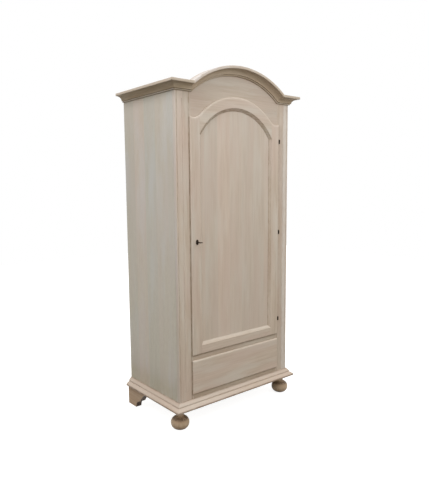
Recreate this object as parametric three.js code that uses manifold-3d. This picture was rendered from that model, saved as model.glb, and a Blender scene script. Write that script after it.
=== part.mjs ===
// One-door wardrobe with an arched crown, a drawer, ball feet in front and bracket feet behind.
// Millimetres, +Z up, the front faces -Y. The origin is on the floor under the middle of the overall box.
import * as THREE from "three";
import { mergeVertices } from "three/addons/utils/BufferGeometryUtils.js";
import Module from "manifold-3d";

const wasm = await Module();
wasm.setup();

// Driving dimensions of the carcass
const carcassWidth = 892;
const carcassDepth = 546;
const crownReach = 54; // how far the crown stands out from the carcass
const baseHeight = 122; // underside of the base board above the floor
const baseBoardThickness = 24;
const crownBottom = 1928;
const crownHeight = 50;
const sideThickness = 20;
const frameThickness = 22; // stiles, rails and the arched board
const backThickness = 8;
const boardThickness = 18; // shelves, runners and the top
const glueLine = 0.3; // gap kept between two pieces that are glued or pinned together
const overrun = 5; // how far a cutter runs past what it cuts

// Front frame
const stileFace = 93; // frame that shows beside the door and the drawer
const lowerRailFace = 58; // from the base board up to the drawer front
const middleRailFace = 29; // between the drawer front and the door
const stileCorner = 5; // radius of the outer front edge
const quirkInset = 10; // narrow groove that makes a bead of the corner
const quirkWidth = 4;
const quirkDepth = 2.5;
const fluteInset = 42; // stopped flute, from the outer face to its near wall
const fluteWidth = 7;
const fluteDepth = 3.5;
const fluteStopBelow = 72; // from the base board up to the flute
const fluteStopAbove = 42; // from the flute up to the crown
const seamChamfer = 1.5; // eased edge of the stile beside the boards

// Door and drawer fronts, which lap the frame with a lip
const lipThickness = 10;
const lipGap = 1; // between the lip and the frame face
const lipRadius = 8;
const lipOverlap = 9; // lip past the opening
const bodyGap = 2; // body of the front inside its opening
const bodyThickness = 12;
const drawerFrontHeight = 199;
const dipDrop = 135; // from the foot of the crown down to the lowest point of the reverse arcs
const dipRadius = 71;
const dipInset = 24; // centre of a reverse arc from the edge of the door
const crestRise = 138; // from the reverse arcs up to the top of the middle arc

// Arch of the crown
const archInset = 8; // from the edge of the opening to where the arch leaves the level crown
const archRise = 121;

// Panel opening of the door
const doorStileWidth = 66; // flat of the stile, up to the moulded edge
const doorRailBottomHeight = 73; // from the edge of the door to the sight line
const doorRailTopHeight = 81;
const sightRise = 150; // of the arch over the panel
const mouldWidth = 17; // sloping edge from the frame face to the panel
const mouldDepth = 13;
const panelThickness = 8;
const panelLap = 8; // panel behind the edge of the frame

// Feet
const ballRadius = 54.5;
const ballHalfHeight = 44;
const ballFlat = 1; // turned off the bottom, so that it stands
const ballInsetSide = 24;
const ballInsetFront = 32;
const neckRadius = 22;
const tenonRadius = 10;
const tenonLength = 16;
const bracketThickness = 40;
const bracketOut = 24; // outer face past the side board
const bracketLength = 205;
const toeLength = 91;
const toeHeight = 30;
const toeLean = 8;
const kneeLength = 147;
const kneeHeight = 69;
const kneeStepLength = 6;
const kneeStepHeight = 12;

// Drawer box and its runners
const drawerSideThickness = 12;
const drawerBackThickness = 12;
const drawerBottomThickness = 6;
const drawerSideGap = 6; // box inside the opening
const drawerBackGap = 92; // behind the box
const drawerHeadroom = 25; // above the box, up to the top of the opening
const drawerGrooveDepth = 5;
const drawerBottomRise = 12; // underside of the drawer bottom above the foot of its sides
const runnerReach = 30; // runner under the drawer side
const guideWidth = 25;
const guideHeight = 26;
const guideGap = 1.5;
const kickerGap = 3; // above the drawer side

// Inside
const shelfDrop = 228; // from the foot of the crown down to the underside of the hat shelf
const topBoardDrop = 28; // underside of the top board below the top of the sides
const battenSize = 20;
const railRadius = 12;
const railDrop = 60; // middle of the rail below the hat shelf
const socketRadius = 20;
const socketDepth = 12;
const socketBore = 9;
const backRebate = 10;

// Hinges
const knuckleRadius = 5.5;
const knuckleHeight = 14;
const knuckleGap = 0.4; // between the two knuckles
const knuckleCrown = 3; // rounded end
const knuckleToDoor = 0.8;
const knuckleToFrame = 0.5;
const spindleRadius = 2.2;
const spindleClearance = 0.35;
const spindleLength = 10;
const hingePinRadius = 2.5;
const framePinLength = 25;
const doorPinLength = 42;
const pinClearance = 0.3;
const hingeInset = 105; // from the ends of the hinge side to the outer hinges

// Lock and key
const lockHeight = 1097;
const lockInset = 40; // key axis from the edge of the door
const lockWidth = 46;
const lockBelow = 16; // case below the key axis
const lockAbove = 42;
const lockCaseThickness = 11;
const boltThickness = 6;
const boltHeight = 18;
const boltLength = 44;
const boltRise = 7; // underside of the bolt above the key axis
const talonBefore = 2.5; // notch for the key bit, either side of the key axis
const talonAfter = 11;
const talonDepth = 3.5;
const boltThrow = 10;
const boltClearance = 0.3;
const boltRetreat = 0.5; // end of the withdrawn bolt inside the case
const strikeThickness = 1.5;
const strikeHeight = 50;
const strikeWidth = 10;
const strikeSlack = 1; // around the thrown bolt
const keyRadius = 2.5;
const keyClearance = 0.3;
const keyReach = 42.5; // key in front of the door face
const bowHalfWidth = 12;
const bowHalfLength = 9;
const bowRim = 3.5;
const bowThickness = 3;
const collarRadius = 4;
const collarThickness = 3;
const bitReach = 9;
const bitHeight = 6;
const bitThickness = 2;
const escutcheonHalfWidth = 10;
const escutcheonHalfHeight = 16;
const escutcheonThickness = 1.6;
const keySlotWidth = 2.4;
const keySlotLength = 9;
const wardClearance = 1; // room for the bit to turn in the case

// Straight stretches that stand for each round one
const archSteps = 36;
const crestSteps = 28;
const dipSteps = 8;
const sightSteps = 24;
const coveSteps = 6;
const cornerSteps = 4;
const lipSteps = 3;
const fluteEndSteps = 6;
const bracketCurveSteps = 5;
const ballSteps = 14;
const knuckleSteps = 2;
const ovalSteps = 24;
const turnedSides = 28;
const smallSides = 16;

// Levels and planes that follow
const halfWidth = carcassWidth / 2;
const overallDepth = carcassDepth + crownReach;
const backY = overallDepth / 2;
const frontY = backY - carcassDepth;
const frameBackY = frontY + frameThickness;
const panelFaceY = backY - backThickness;
const baseTop = baseHeight + baseBoardThickness;
const carcassTop = crownBottom + crownHeight;
const innerHalfWidth = halfWidth - sideThickness;
const shelfHeight = crownBottom - shelfDrop;
const frontWidth = carcassWidth - 2 * stileFace;
const drawerBottom = baseTop + lowerRailFace;
const drawerTop = drawerBottom + drawerFrontHeight;
const doorBottom = drawerTop + middleRailFace;
const openingHalfWidth = frontWidth / 2 - lipOverlap;
const lipBackY = frontY - lipGap;
const faceY = lipBackY - lipThickness;
const bodyBackY = lipBackY + bodyThickness;
const bodyInset = lipOverlap + bodyGap;
const archHalfChord = openingHalfWidth - archInset;
const archRadius = (archHalfChord ** 2 + archRise ** 2) / (2 * archRise);
const archCentre = crownBottom + archRise - archRadius;
const dipHeight = crownBottom - dipDrop;
const dipCentre = dipHeight + dipRadius;
const dipOffset = frontWidth / 2 - dipInset;
const crestHeight = dipHeight + crestRise;
const crestRadius = (dipOffset ** 2 + crestRise ** 2) / (2 * crestRise) - dipRadius;
const crestCentre = crestHeight - crestRadius;
const sightHalfWidth = frontWidth / 2 - doorStileWidth - mouldWidth;
const sightBottom = doorBottom + doorRailBottomHeight;
const sightTop = crestHeight - doorRailTopHeight;
const sightRadius = (sightHalfWidth ** 2 + sightRise ** 2) / (2 * sightRise);
const sightCentre = sightTop - sightRadius;
const hingeX = frontWidth / 2 + knuckleToDoor + knuckleRadius;
const hingeY = frontY - knuckleToFrame - knuckleRadius;
const lockX = -frontWidth / 2 + lockInset;

// Materials
const finish = (color, roughness, metalness = 0) =>
  new THREE.MeshStandardMaterial({ color, roughness, metalness });
const paleWood = () => finish(0xb5a48c, 0.62);
const sideWood = () => finish(0xafa796, 0.62);
const crownWood = () => finish(0x9a8768, 0.6);
const innerWood = () => finish(0xbca988, 0.7);
const plywood = () => finish(0xb9a684, 0.75);
const darkMetal = () => finish(0x2c2620, 0.45, 0.85);
const steel = () => finish(0x8c8a86, 0.4, 0.9);

const wardrobe = new THREE.Group();

function add(name, geometry, material) {
  const mesh = new THREE.Mesh(geometry, material);
  mesh.name = name;
  wardrobe.add(mesh);
}

// Solids
function toSolid(geometry) {
  const bare = geometry.clone();
  bare.deleteAttribute("normal");
  bare.deleteAttribute("uv");
  const merged = mergeVertices(bare);
  const vertProperties = new Float32Array(merged.attributes.position.array);
  const corners = Array.from(merged.index.array);
  const triVerts = new Uint32Array(corners.filter((_, i) => {
    const [a, b, c] = corners.slice(i - (i % 3), i - (i % 3) + 3);
    return a !== b && b !== c && c !== a;
  }));
  return new wasm.Manifold(new wasm.Mesh({ numProp: 3, vertProperties, triVerts }));
}

function toGeometry(solid) {
  const { vertProperties, triVerts } = solid.getMesh();
  const geometry = new THREE.BufferGeometry();
  geometry.setAttribute("position", new THREE.BufferAttribute(vertProperties, 3));
  geometry.setIndex(new THREE.BufferAttribute(triVerts, 1));
  return geometry;
}

function cut(geometry, ...cutters) {
  const solid = cutters.reduce((rest, cutter) => rest.subtract(toSolid(cutter)), toSolid(geometry));
  return toGeometry(solid);
}

function join(...geometries) {
  const solids = geometries.map(toSolid);
  return toGeometry(solids.reduce((whole, solid) => whole.add(solid)));
}

function common(geometry, other) {
  return toGeometry(toSolid(geometry).intersect(toSolid(other)));
}

function mirrored(geometry) {
  const copy = geometry.clone().applyMatrix4(new THREE.Matrix4().makeScale(-1, 1, 1));
  const index = copy.index.array;
  for (let i = 0; i < index.length; i += 3) {
    [index[i], index[i + 1]] = [index[i + 1], index[i]];
  }
  return copy;
}

function board(x, y, z) {
  const geometry = new THREE.BoxGeometry(x[1] - x[0], y[1] - y[0], z[1] - z[0]);
  return geometry.translate((x[0] + x[1]) / 2, (y[0] + y[1]) / 2, (z[0] + z[1]) / 2);
}

// A closed skin over rings of points that have the same count; flat is the outline that fills the ends
function skin(rings, flat) {
  if (THREE.ShapeUtils.isClockWise(flat)) {
    return skin(rings.map((ring) => [...ring].reverse()), [...flat].reverse());
  }
  const count = flat.length;
  const faces = THREE.ShapeUtils.triangulateShape(flat, []);
  const index = [];
  for (let ring = 0; ring + 1 < rings.length; ring++) {
    for (let i = 0; i < count; i++) {
      const a = ring * count + i;
      const b = ring * count + ((i + 1) % count);
      index.push(a, b, a + count, b, b + count, a + count);
    }
  }
  const last = (rings.length - 1) * count;
  for (const [a, b, c] of faces) {
    index.push(a, c, b, last + a, last + b, last + c);
  }
  const points = rings.flat();
  const volume = index.reduce((sum, _, i) => {
    if (i % 3) {
      return sum;
    }
    const [a, b, c] = index.slice(i, i + 3).map((k) => new THREE.Vector3(...points[k]));
    return sum + a.dot(b.cross(c));
  }, 0);
  if (volume < 0) {
    index.reverse();
  }
  const geometry = new THREE.BufferGeometry();
  geometry.setAttribute("position", new THREE.Float32BufferAttribute(points.flat(), 3));
  geometry.setIndex(index);
  return geometry;
}

const outline = (points) => points.map(([x, y]) => new THREE.Vector2(x, y));

// Prisms whose outline is drawn in the plane across their length
const alongX = (yz, from, to) => skin([from, to].map((x) => yz.map(([y, z]) => [x, y, z])), outline(yz));
const alongY = (xz, from, to) => skin([from, to].map((y) => xz.map(([x, z]) => [x, y, z])), outline(xz));
const alongZ = (xy, from, to) => skin([from, to].map((z) => xy.map(([x, y]) => [x, y, z])), outline(xy));

// Points of an arc, angles from the vertical toward +X
function arc(centreX, centreZ, radius, from, to, steps) {
  const points = [];
  for (let i = 0; i <= steps; i++) {
    const angle = from + ((to - from) * i) / steps;
    points.push([centreX + radius * Math.sin(angle), centreZ + radius * Math.cos(angle)]);
  }
  return points;
}

const quarter = Math.PI / 2;
const turned = (profile, sides) => new THREE.LatheGeometry(outline(profile), sides).rotateX(quarter);
const rod = (radius, length) => turned([[0, 0], [radius, 0], [radius, length], [0, length]], smallSides);

// Carcass boards
const sideBoard = cut(
  board([innerHalfWidth, halfWidth], [frameBackY + glueLine, backY], [baseTop + glueLine, carcassTop]),
  board(
    [innerHalfWidth - overrun, innerHalfWidth + backRebate],
    [panelFaceY, backY + overrun],
    [baseTop - overrun, carcassTop + overrun],
  ),
);
add("side_right", sideBoard, sideWood());
add("side_left", mirrored(sideBoard), sideWood());

const betweenSides = [-innerHalfWidth + glueLine, innerHalfWidth - glueLine];
const betweenFrameAndBack = [frameBackY + glueLine, panelFaceY - glueLine];
const openingBottom = doorBottom + lipOverlap; // top face of the rail under the door
const drawerOpening = [drawerBottom + lipOverlap, drawerTop - lipOverlap];

function shelf(name, bottom) {
  add(name, board(betweenSides, betweenFrameAndBack, [bottom, bottom + boardThickness]), innerWood());
}

const floorHeight = openingBottom - boardThickness;
shelf("compartment_floor", floorHeight);
shelf("hat_shelf", shelfHeight);
shelf("top_board", carcassTop - topBoardDrop);

const rebateHalfWidth = innerHalfWidth + backRebate - glueLine;
add(
  "back_panel",
  board([-rebateHalfWidth, rebateHalfWidth], [panelFaceY + glueLine, backY], [baseTop + glueLine, carcassTop]),
  plywood(),
);

const ballX = halfWidth - ballInsetSide;
const ballY = frontY + ballInsetFront;
const tenonHole = rod(tenonRadius + glueLine, tenonLength + glueLine + overrun);
const holeAt = (x) => tenonHole.clone().translate(x, ballY, baseHeight - overrun);
add(
  "base_board",
  cut(board([-halfWidth, halfWidth], [frontY, backY], [baseHeight, baseTop]), holeAt(ballX), holeAt(-ballX)),
  innerWood(),
);

// Battens under the shelves
function batten(name, shelfBottom) {
  const geometry = board(
    [innerHalfWidth - glueLine - battenSize, innerHalfWidth - glueLine],
    [frameBackY + battenSize, panelFaceY - battenSize],
    [shelfBottom - glueLine - battenSize, shelfBottom - glueLine],
  );
  add(`${name}_right`, geometry, innerWood());
  add(`${name}_left`, mirrored(geometry), innerWood());
}
batten("shelf_batten", shelfHeight);
batten("floor_batten", floorHeight);

// Lock and strike places that the frame and the door share
const boltBottom = lockHeight + boltRise;
const lockCaseX = -frontWidth / 2 + bodyInset + glueLine;
const lockCaseY = bodyBackY - lockCaseThickness;
const boltY = lockCaseY + (lockCaseThickness - boltThickness) / 2;
const strikeMiddle = boltBottom + boltHeight / 2;
const boltTip = lockCaseX + boltRetreat;
const grown = ([low, high], by) => [low - by, high + by];
const thrownBolt = {
  x: [boltTip - boltThrow, -openingHalfWidth],
  y: [boltY, boltY + boltThickness],
  z: [boltBottom, boltBottom + boltHeight],
};
const boltHole = board(
  [thrownBolt.x[0] - strikeSlack, thrownBolt.x[1] + overrun],
  grown(thrownBolt.y, strikeSlack),
  grown(thrownBolt.z, strikeSlack),
);
const strikeY = boltY + boltThickness / 2;
const strikeBox = (slack, past) => board(
  [-openingHalfWidth - strikeThickness - slack, -openingHalfWidth + past],
  grown([strikeY - strikeWidth / 2, strikeY + strikeWidth / 2], slack),
  grown([strikeMiddle - strikeHeight / 2, strikeMiddle + strikeHeight / 2], slack),
);

// Front frame
function stileSection() {
  const corner = [];
  for (let i = 0; i <= cornerSteps; i++) {
    const angle = quarter * (i / cornerSteps);
    corner.push([
      halfWidth - stileCorner * (1 - Math.cos(angle)),
      frontY + stileCorner * (1 - Math.sin(angle)),
    ]);
  }
  const quirkOut = halfWidth - quirkInset;
  return [
    [halfWidth, frameBackY],
    ...corner,
    [quirkOut, frontY],
    [quirkOut - quirkWidth / 2, frontY + quirkDepth],
    [quirkOut - quirkWidth, frontY],
    [openingHalfWidth + seamChamfer, frontY],
    [openingHalfWidth, frontY + seamChamfer],
    [openingHalfWidth, frameBackY],
  ];
}

function flute() {
  const middle = halfWidth - fluteInset - fluteWidth / 2;
  const end = fluteWidth / 2;
  const round = (z, from) => arc(middle, z, end, from, from + Math.PI, fluteEndSteps);
  const top = crownBottom - fluteStopAbove;
  const bottom = baseTop + fluteStopBelow;
  const shape = [...round(top - end, -quarter), ...round(bottom + end, quarter)];
  return alongY(shape, frontY - overrun, frontY + fluteDepth);
}

const fluted = cut(alongZ(stileSection(), baseTop + glueLine, carcassTop), flute());
const hingePinRun = rod(hingePinRadius + pinClearance, framePinLength + pinClearance);
const lipEdge = frontWidth / 2;
const lipCornerHeight = dipCentre - Math.sqrt(dipRadius ** 2 - (lipEdge - dipOffset) ** 2);
const hingeHeights = {
  top: lipCornerHeight - hingeInset,
  middle: (lipCornerHeight + doorBottom) / 2,
  bottom: doorBottom + hingeInset,
};
const frameBores = Object.values(hingeHeights).map((z) =>
  hingePinRun.clone().rotateX(-quarter).translate(hingeX, hingeY, z - knuckleHeight / 2),
);
add("stile_right", cut(fluted, ...frameBores), paleWood());
add("stile_left", cut(mirrored(fluted), boltHole, strikeBox(glueLine, overrun)), paleWood());
add("strike_plate", cut(strikeBox(0, 0), boltHole), steel());

const betweenStiles = [-openingHalfWidth + glueLine, openingHalfWidth - glueLine];
const frameDepth = [frontY, frameBackY];
add("middle_rail", board(betweenStiles, frameDepth, [drawerOpening[1], openingBottom]), paleWood());
add("lower_rail", board(betweenStiles, frameDepth, [baseTop + glueLine, drawerOpening[0]]), paleWood());

// Top line of the door, drawn in from its lip by an inset, from right to left
function doorTop(inset, half) {
  const lean = Math.asin(dipOffset / (crestRadius + dipRadius));
  const radius = dipRadius + inset;
  const end = Math.asin((half - dipOffset) / radius);
  const dip = arc(dipOffset, dipCentre, radius, Math.PI - end, Math.PI + lean, dipSteps);
  const crest = arc(0, crestCentre, crestRadius - inset, lean, -lean, crestSteps);
  const far = dip.map(([x, z]) => [-x, z]).reverse();
  return [...dip, ...crest.slice(1, -1), ...far];
}

const tympanumHalf = openingHalfWidth - glueLine;
const archTopRadius = archRadius + crownHeight;
const archLean = Math.asin(tympanumHalf / archTopRadius);
const archedBoard = [
  ...doorTop(lipOverlap, tympanumHalf),
  ...arc(0, archCentre, archTopRadius, -archLean, archLean, archSteps),
];
add("tympanum_board", alongY(archedBoard, frontY, frameBackY), paleWood());

// Crown: the section gives reach and height, from the foot on the wall round to the top
const beadReach = 9;
const beadFoot = 4;
const coveStartReach = 14;
const coveStartHeight = 9;
const coveEndReach = 47;
const lipUnderside = 37;
const arris = 2; // eased edges of the mouldings

function crownSection() {
  const points = [[glueLine, 0], [beadFoot, 0]];
  points.push([beadReach, coveStartHeight / 2]);
  points.push([beadReach, coveStartHeight - arris]);
  for (let i = 0; i <= coveSteps; i++) {
    const angle = quarter * (i / coveSteps);
    points.push([
      coveStartReach + (coveEndReach - coveStartReach) * (1 - Math.cos(angle)),
      coveStartHeight + (lipUnderside - coveStartHeight) * Math.sin(angle),
    ]);
  }
  points.push([crownReach - arris, lipUnderside]);
  points.push([crownReach, lipUnderside + arris]);
  points.push([crownReach, crownHeight - arris]);
  points.push([crownReach - arris, crownHeight]);
  points.push([glueLine, crownHeight]);
  return points;
}

const baseReach = 38.5;
const baseMouldTop = 50; // height of the base moulding
const upperStepReach = 18;
const upperStepHeight = 33;
const seamReach = 16;
const seamHeight = 25;
const lowerStepReach = 37;
const lowerStepHeight = 11;

function baseSection() {
  return [
    [glueLine, 0],
    [baseReach, 0],
    [baseReach, lowerStepHeight - arris],
    [lowerStepReach, lowerStepHeight],
    [(lowerStepReach + seamReach) / 2, (lowerStepHeight + seamHeight) / 2 + arris],
    [upperStepReach, seamHeight],
    [seamReach, seamHeight],
    [upperStepReach, seamHeight + arris],
    [upperStepReach, upperStepHeight],
    [upperStepReach / 2, (upperStepHeight + baseMouldTop) / 2 + arris],
    [arris, baseMouldTop],
    [glueLine, baseMouldTop],
  ];
}

// A moulding carried through places, each of which sets one point of the section in space
function moulding(section, places) {
  return skin(places.map((place) => section.map(([reach, height]) => place(reach, height))), outline(section));
}

function sideMoulding(section, bottom) {
  const atFront = (reach, height) => [halfWidth + reach, frontY - reach + glueLine, bottom + height];
  const atBack = (reach, height) => [halfWidth + reach, backY, bottom + height];
  return moulding(section, [atFront, atBack]);
}

const crownMitre = (height) => {
  const level = crownBottom + height - archCentre;
  return Math.sqrt((archRadius + height) ** 2 - level ** 2);
};

function crownFrontRun() {
  const atCorner = (reach, height) => [halfWidth + reach, frontY - reach, crownBottom + height];
  const atArch = (reach, height) => [crownMitre(height) + glueLine, frontY - reach, crownBottom + height];
  return moulding(crownSection(), [atArch, atCorner]);
}

function crownArch() {
  const places = [];
  for (let i = 0; i <= archSteps; i++) {
    const share = (2 * i) / archSteps - 1;
    places.push((reach, height) => {
      const lean = share * Math.atan2(crownMitre(height), crownBottom + height - archCentre);
      const radius = archRadius + height;
      return [radius * Math.sin(lean), frontY - reach, archCentre + radius * Math.cos(lean)];
    });
  }
  return moulding(crownSection(), places);
}

add("crown_right", sideMoulding(crownSection(), crownBottom), crownWood());
add("crown_left", mirrored(sideMoulding(crownSection(), crownBottom)), crownWood());
add("crown_front_right", crownFrontRun(), crownWood());
add("crown_front_left", mirrored(crownFrontRun()), crownWood());
add("crown_arch", crownArch(), crownWood());

const baseAt = (side) => (reach, height) => [side * (halfWidth + reach), frontY - reach, baseHeight + height];
add("base_moulding_front", moulding(baseSection(), [baseAt(-1), baseAt(1)]), paleWood());
add("base_moulding_right", sideMoulding(baseSection(), baseHeight), paleWood());
add("base_moulding_left", mirrored(sideMoulding(baseSection(), baseHeight)), paleWood());

// Feet
function ballFoot() {
  const profile = [[0, 0]];
  const low = -Math.asin((ballHalfHeight - ballFlat) / ballHalfHeight);
  const high = Math.acos(neckRadius / ballRadius);
  for (let i = 0; i <= ballSteps; i++) {
    const angle = low + ((high - low) * i) / ballSteps;
    profile.push([ballRadius * Math.cos(angle), ballHalfHeight - ballFlat + ballHalfHeight * Math.sin(angle)]);
  }
  const top = baseHeight - glueLine;
  profile.push([neckRadius, top], [tenonRadius, top]);
  profile.push([tenonRadius, baseHeight + tenonLength], [0, baseHeight + tenonLength]);
  return turned(profile, turnedSides);
}

function bracketFoot() {
  const curve = (from, bend, to) => {
    const bezier = new THREE.QuadraticBezierCurve(...outline([from, bend, to]));
    return bezier.getPoints(bracketCurveSteps).map(({ x, y }) => [x, y]);
  };
  const toe = [toeLength + toeLean, toeHeight];
  const knee = [kneeLength, kneeHeight];
  const step = [kneeLength + kneeStepLength, kneeHeight + kneeStepHeight];
  const top = baseHeight - glueLine;
  const shape = [
    [0, 0],
    [toeLength, 0],
    ...curve(toe, [toe[0] + toeLean, knee[1] - toeLean], knee),
    ...curve(step, [step[0] + kneeStepHeight, top], [bracketLength, top]),
    [0, top],
  ];
  const inner = halfWidth + bracketOut - bracketThickness;
  return alongX(shape.map(([back, z]) => [backY - back, z]), inner, halfWidth + bracketOut);
}

for (const [side, sign] of [["right", 1], ["left", -1]]) {
  add(`ball_foot_${side}`, ballFoot().translate(sign * ballX, ballY, 0), paleWood());
}
add("bracket_foot_right", bracketFoot(), paleWood());
add("bracket_foot_left", mirrored(bracketFoot()), paleWood());

// Door and drawer front: rings from the back of the body to the rounded face, drawn in by the insets
const doorRing = (inset) => {
  const half = frontWidth / 2 - inset;
  const low = doorBottom + inset;
  return [...doorTop(inset, half), [-half, low], [half, low]];
};
const drawerRing = (inset) => {
  const half = frontWidth / 2 - inset;
  return [
    [half, drawerTop - inset],
    [-half, drawerTop - inset],
    [-half, drawerBottom + inset],
    [half, drawerBottom + inset],
  ];
};

function lippedFront(ring) {
  const layers = [
    [bodyInset, bodyBackY],
    [bodyInset, lipBackY],
    [0, lipBackY],
    [0, faceY + lipRadius],
  ];
  for (let i = 1; i <= lipSteps; i++) {
    const angle = quarter * (i / lipSteps);
    layers.push([lipRadius * (1 - Math.cos(angle)), faceY + lipRadius * (1 - Math.sin(angle))]);
  }
  return skin(layers.map(([inset, y]) => ring(inset).map(([x, z]) => [x, y, z])), outline(ring(0)));
}

// Panel opening, drawn out from the sight line of the panel by an outset
function sightRing(outset) {
  const half = sightHalfWidth + outset;
  const radius = sightRadius + outset;
  const lean = Math.asin(half / radius);
  const low = sightBottom - outset;
  return [...arc(0, sightCentre, radius, lean, -lean, sightSteps), [-half, low], [half, low]];
}

const springHeight = (outset) => sightRing(outset)[0][1];
const mouldBeadShare = 0.15;
const mouldMiddleShares = [0.5, 0.62];

function panelCutters() {
  const rings = [
    [mouldWidth, faceY - overrun],
    [mouldWidth, faceY],
    [mouldWidth * (1 - mouldBeadShare), faceY + mouldDepth * 2 * mouldBeadShare],
    [mouldWidth * mouldMiddleShares[0], faceY + mouldDepth * mouldMiddleShares[1]],
    [0, faceY + mouldDepth],
    [0, bodyBackY + overrun],
  ];
  const front = skin(
    rings.map(([outset, y]) => sightRing(outset).map(([x, z]) => [x, y, z])),
    outline(sightRing(0)),
  );
  const rebate = alongY(sightRing(panelLap + glueLine), faceY + mouldDepth, bodyBackY + overrun);
  return [front, rebate];
}

const doorFrame = cut(lippedFront(doorRing), ...panelCutters());

// Ground of one stile: its full width, and its part of the moulding up to the mitres
function stileGround(shift) {
  const outer = sightHalfWidth + mouldWidth - shift;
  const inner = sightHalfWidth - shift - glueLine;
  const far = frontWidth / 2 + overrun;
  const slope = mouldWidth + glueLine;
  return [
    [far, doorBottom - overrun],
    [outer, doorBottom - overrun],
    [outer, sightBottom - mouldWidth],
    [inner, sightBottom - mouldWidth + slope],
    [inner, springHeight(0)],
    [outer, springHeight(mouldWidth)],
    [outer, crestHeight],
    [far, crestHeight],
  ];
}

const stilePrism = (shift) => alongY(stileGround(shift), faceY - overrun, bodyBackY + overrun);
const doorStile = common(doorFrame, stilePrism(0));
const middleOfDoor = cut(doorFrame, stilePrism(glueLine), mirrored(stilePrism(glueLine)));
const doorPart = (from, to) => common(
  middleOfDoor,
  board([-frontWidth / 2, frontWidth / 2], [faceY - overrun, bodyBackY + overrun], [from, to]),
);
const doorMiddle = (doorBottom + crestHeight) / 2;
add("door_rail_bottom", doorPart(doorBottom - overrun, doorMiddle), paleWood());
add("door_rail_top", doorPart(doorMiddle, crestHeight + overrun), paleWood());
add(
  "door_panel",
  alongY(sightRing(panelLap), faceY + mouldDepth + glueLine, faceY + mouldDepth + glueLine + panelThickness),
  paleWood(),
);

const doorPinRun = rod(hingePinRadius + pinClearance, doorPinLength + pinClearance);
const doorBores = Object.values(hingeHeights).map((z) =>
  doorPinRun.clone().rotateY(-quarter).translate(hingeX, hingeY, z + knuckleHeight / 2),
);
add("door_stile_hinge", cut(doorStile, ...doorBores), paleWood());

// Lock: a pocket in the back of the lock stile, a case, a bolt and the key
const lockCaseBox = (slack, past) => board(
  [lockCaseX - past, lockCaseX + lockWidth + slack],
  [lockCaseY - slack, bodyBackY + past],
  [lockHeight - lockBelow - slack, lockHeight + lockAbove + slack],
);
const keyRun = (radius, from, to) =>
  rod(radius, to - from).rotateX(-quarter).translate(lockX, from, lockHeight);
const keyHole = keyRun(keyRadius + keyClearance, faceY - overrun, boltY + boltThickness);
const keySlot = board(
  [lockX - keySlotWidth / 2, lockX + keySlotWidth / 2],
  [faceY - overrun, boltY],
  [lockHeight - keySlotLength, lockHeight],
);
const lockPocket = lockCaseBox(glueLine, overrun);
add("door_stile_lock", cut(mirrored(doorStile), lockPocket, keyHole, keySlot), paleWood());

const boltBox = (slack, past) => board(
  [boltTip - past, boltTip + boltLength + slack],
  grown(thrownBolt.y, slack),
  grown(thrownBolt.z, slack),
);
const wardRoom = keyRun(bitReach + wardClearance, ...grown(thrownBolt.y, wardClearance));
add("lock_case", cut(lockCaseBox(0, 0), boltBox(boltClearance, overrun), keyHole, keySlot, wardRoom), steel());
const talon = board(
  [lockX - talonBefore, lockX + talonAfter],
  grown(thrownBolt.y, overrun),
  [boltBottom - overrun, boltBottom + talonDepth],
);
add("lock_bolt", cut(boltBox(0, 0), talon), steel());

function ovalRing(halfX, halfY) {
  const points = [];
  for (let i = 0; i < ovalSteps; i++) {
    const angle = (2 * Math.PI * i) / ovalSteps;
    points.push([halfX * Math.cos(angle), halfY * Math.sin(angle)]);
  }
  return points;
}

function keyGeometry() {
  const outerY = faceY - keyReach;
  const bowY = outerY + bowHalfLength;
  const place = ([x, y]) => [lockX + x, bowY + y];
  const rim = ovalRing(bowHalfWidth, bowHalfLength).map(place);
  const hole = ovalRing(bowHalfWidth - bowRim, bowHalfLength - bowRim).map(place);
  const low = lockHeight - bowThickness / 2;
  const high = lockHeight + bowThickness / 2;
  const bow = cut(alongZ(rim, low, high), alongZ(hole, low - overrun, high + overrun));
  const stem = keyRun(keyRadius, bowY + bowHalfLength - bowRim / 2, boltY + boltThickness);
  const collarY = bowY + bowHalfLength + bowRim;
  const collar = keyRun(collarRadius, collarY, collarY + collarThickness);
  const bit = board(
    [lockX, lockX + bitReach],
    [boltY + boltThickness / 2 - bitHeight / 2, boltY + boltThickness / 2 + bitHeight / 2],
    [lockHeight - bitThickness / 2, lockHeight + bitThickness / 2],
  );
  return join(bow, stem, collar, bit);
}
add("key", keyGeometry(), darkMetal());

const plateRing = ovalRing(escutcheonHalfWidth, escutcheonHalfHeight);
const plateOutline = plateRing.map(([x, z]) => [lockX + x, lockHeight + z]);
const plate = alongY(plateOutline, faceY - glueLine - escutcheonThickness, faceY - glueLine);
add("escutcheon", cut(plate, keyHole, keySlot), darkMetal());

// Hinges: the lower knuckle stands on the frame, the upper one carries the door
function knuckle(top) {
  const profile = [[0, 0]];
  for (let i = 0; i <= knuckleSteps; i++) {
    const angle = quarter * (i / knuckleSteps);
    profile.push([
      knuckleRadius - knuckleCrown * (1 - Math.sin(angle)),
      knuckleCrown * (1 - Math.cos(angle)),
    ]);
  }
  const joint = knuckleHeight - knuckleGap / 2;
  profile.push([knuckleRadius, joint], [0, joint]);
  const lower = turned(profile, smallSides).translate(0, 0, -knuckleHeight);
  return top ? lower.rotateX(Math.PI) : lower;
}

function frameHalf() {
  const spindle = rod(spindleRadius, spindleLength * 2).translate(0, 0, -spindleLength);
  const pin = rod(hingePinRadius, framePinLength).rotateX(-quarter).translate(0, 0, -knuckleHeight / 2);
  return join(knuckle(false), spindle, pin);
}

function doorHalf() {
  const clearance = spindleClearance;
  const bore = rod(spindleRadius + clearance, spindleLength + clearance + overrun).translate(0, 0, -overrun);
  const pin = rod(hingePinRadius, doorPinLength).rotateY(-quarter).translate(0, 0, knuckleHeight / 2);
  return cut(join(knuckle(true), pin), bore);
}

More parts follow.
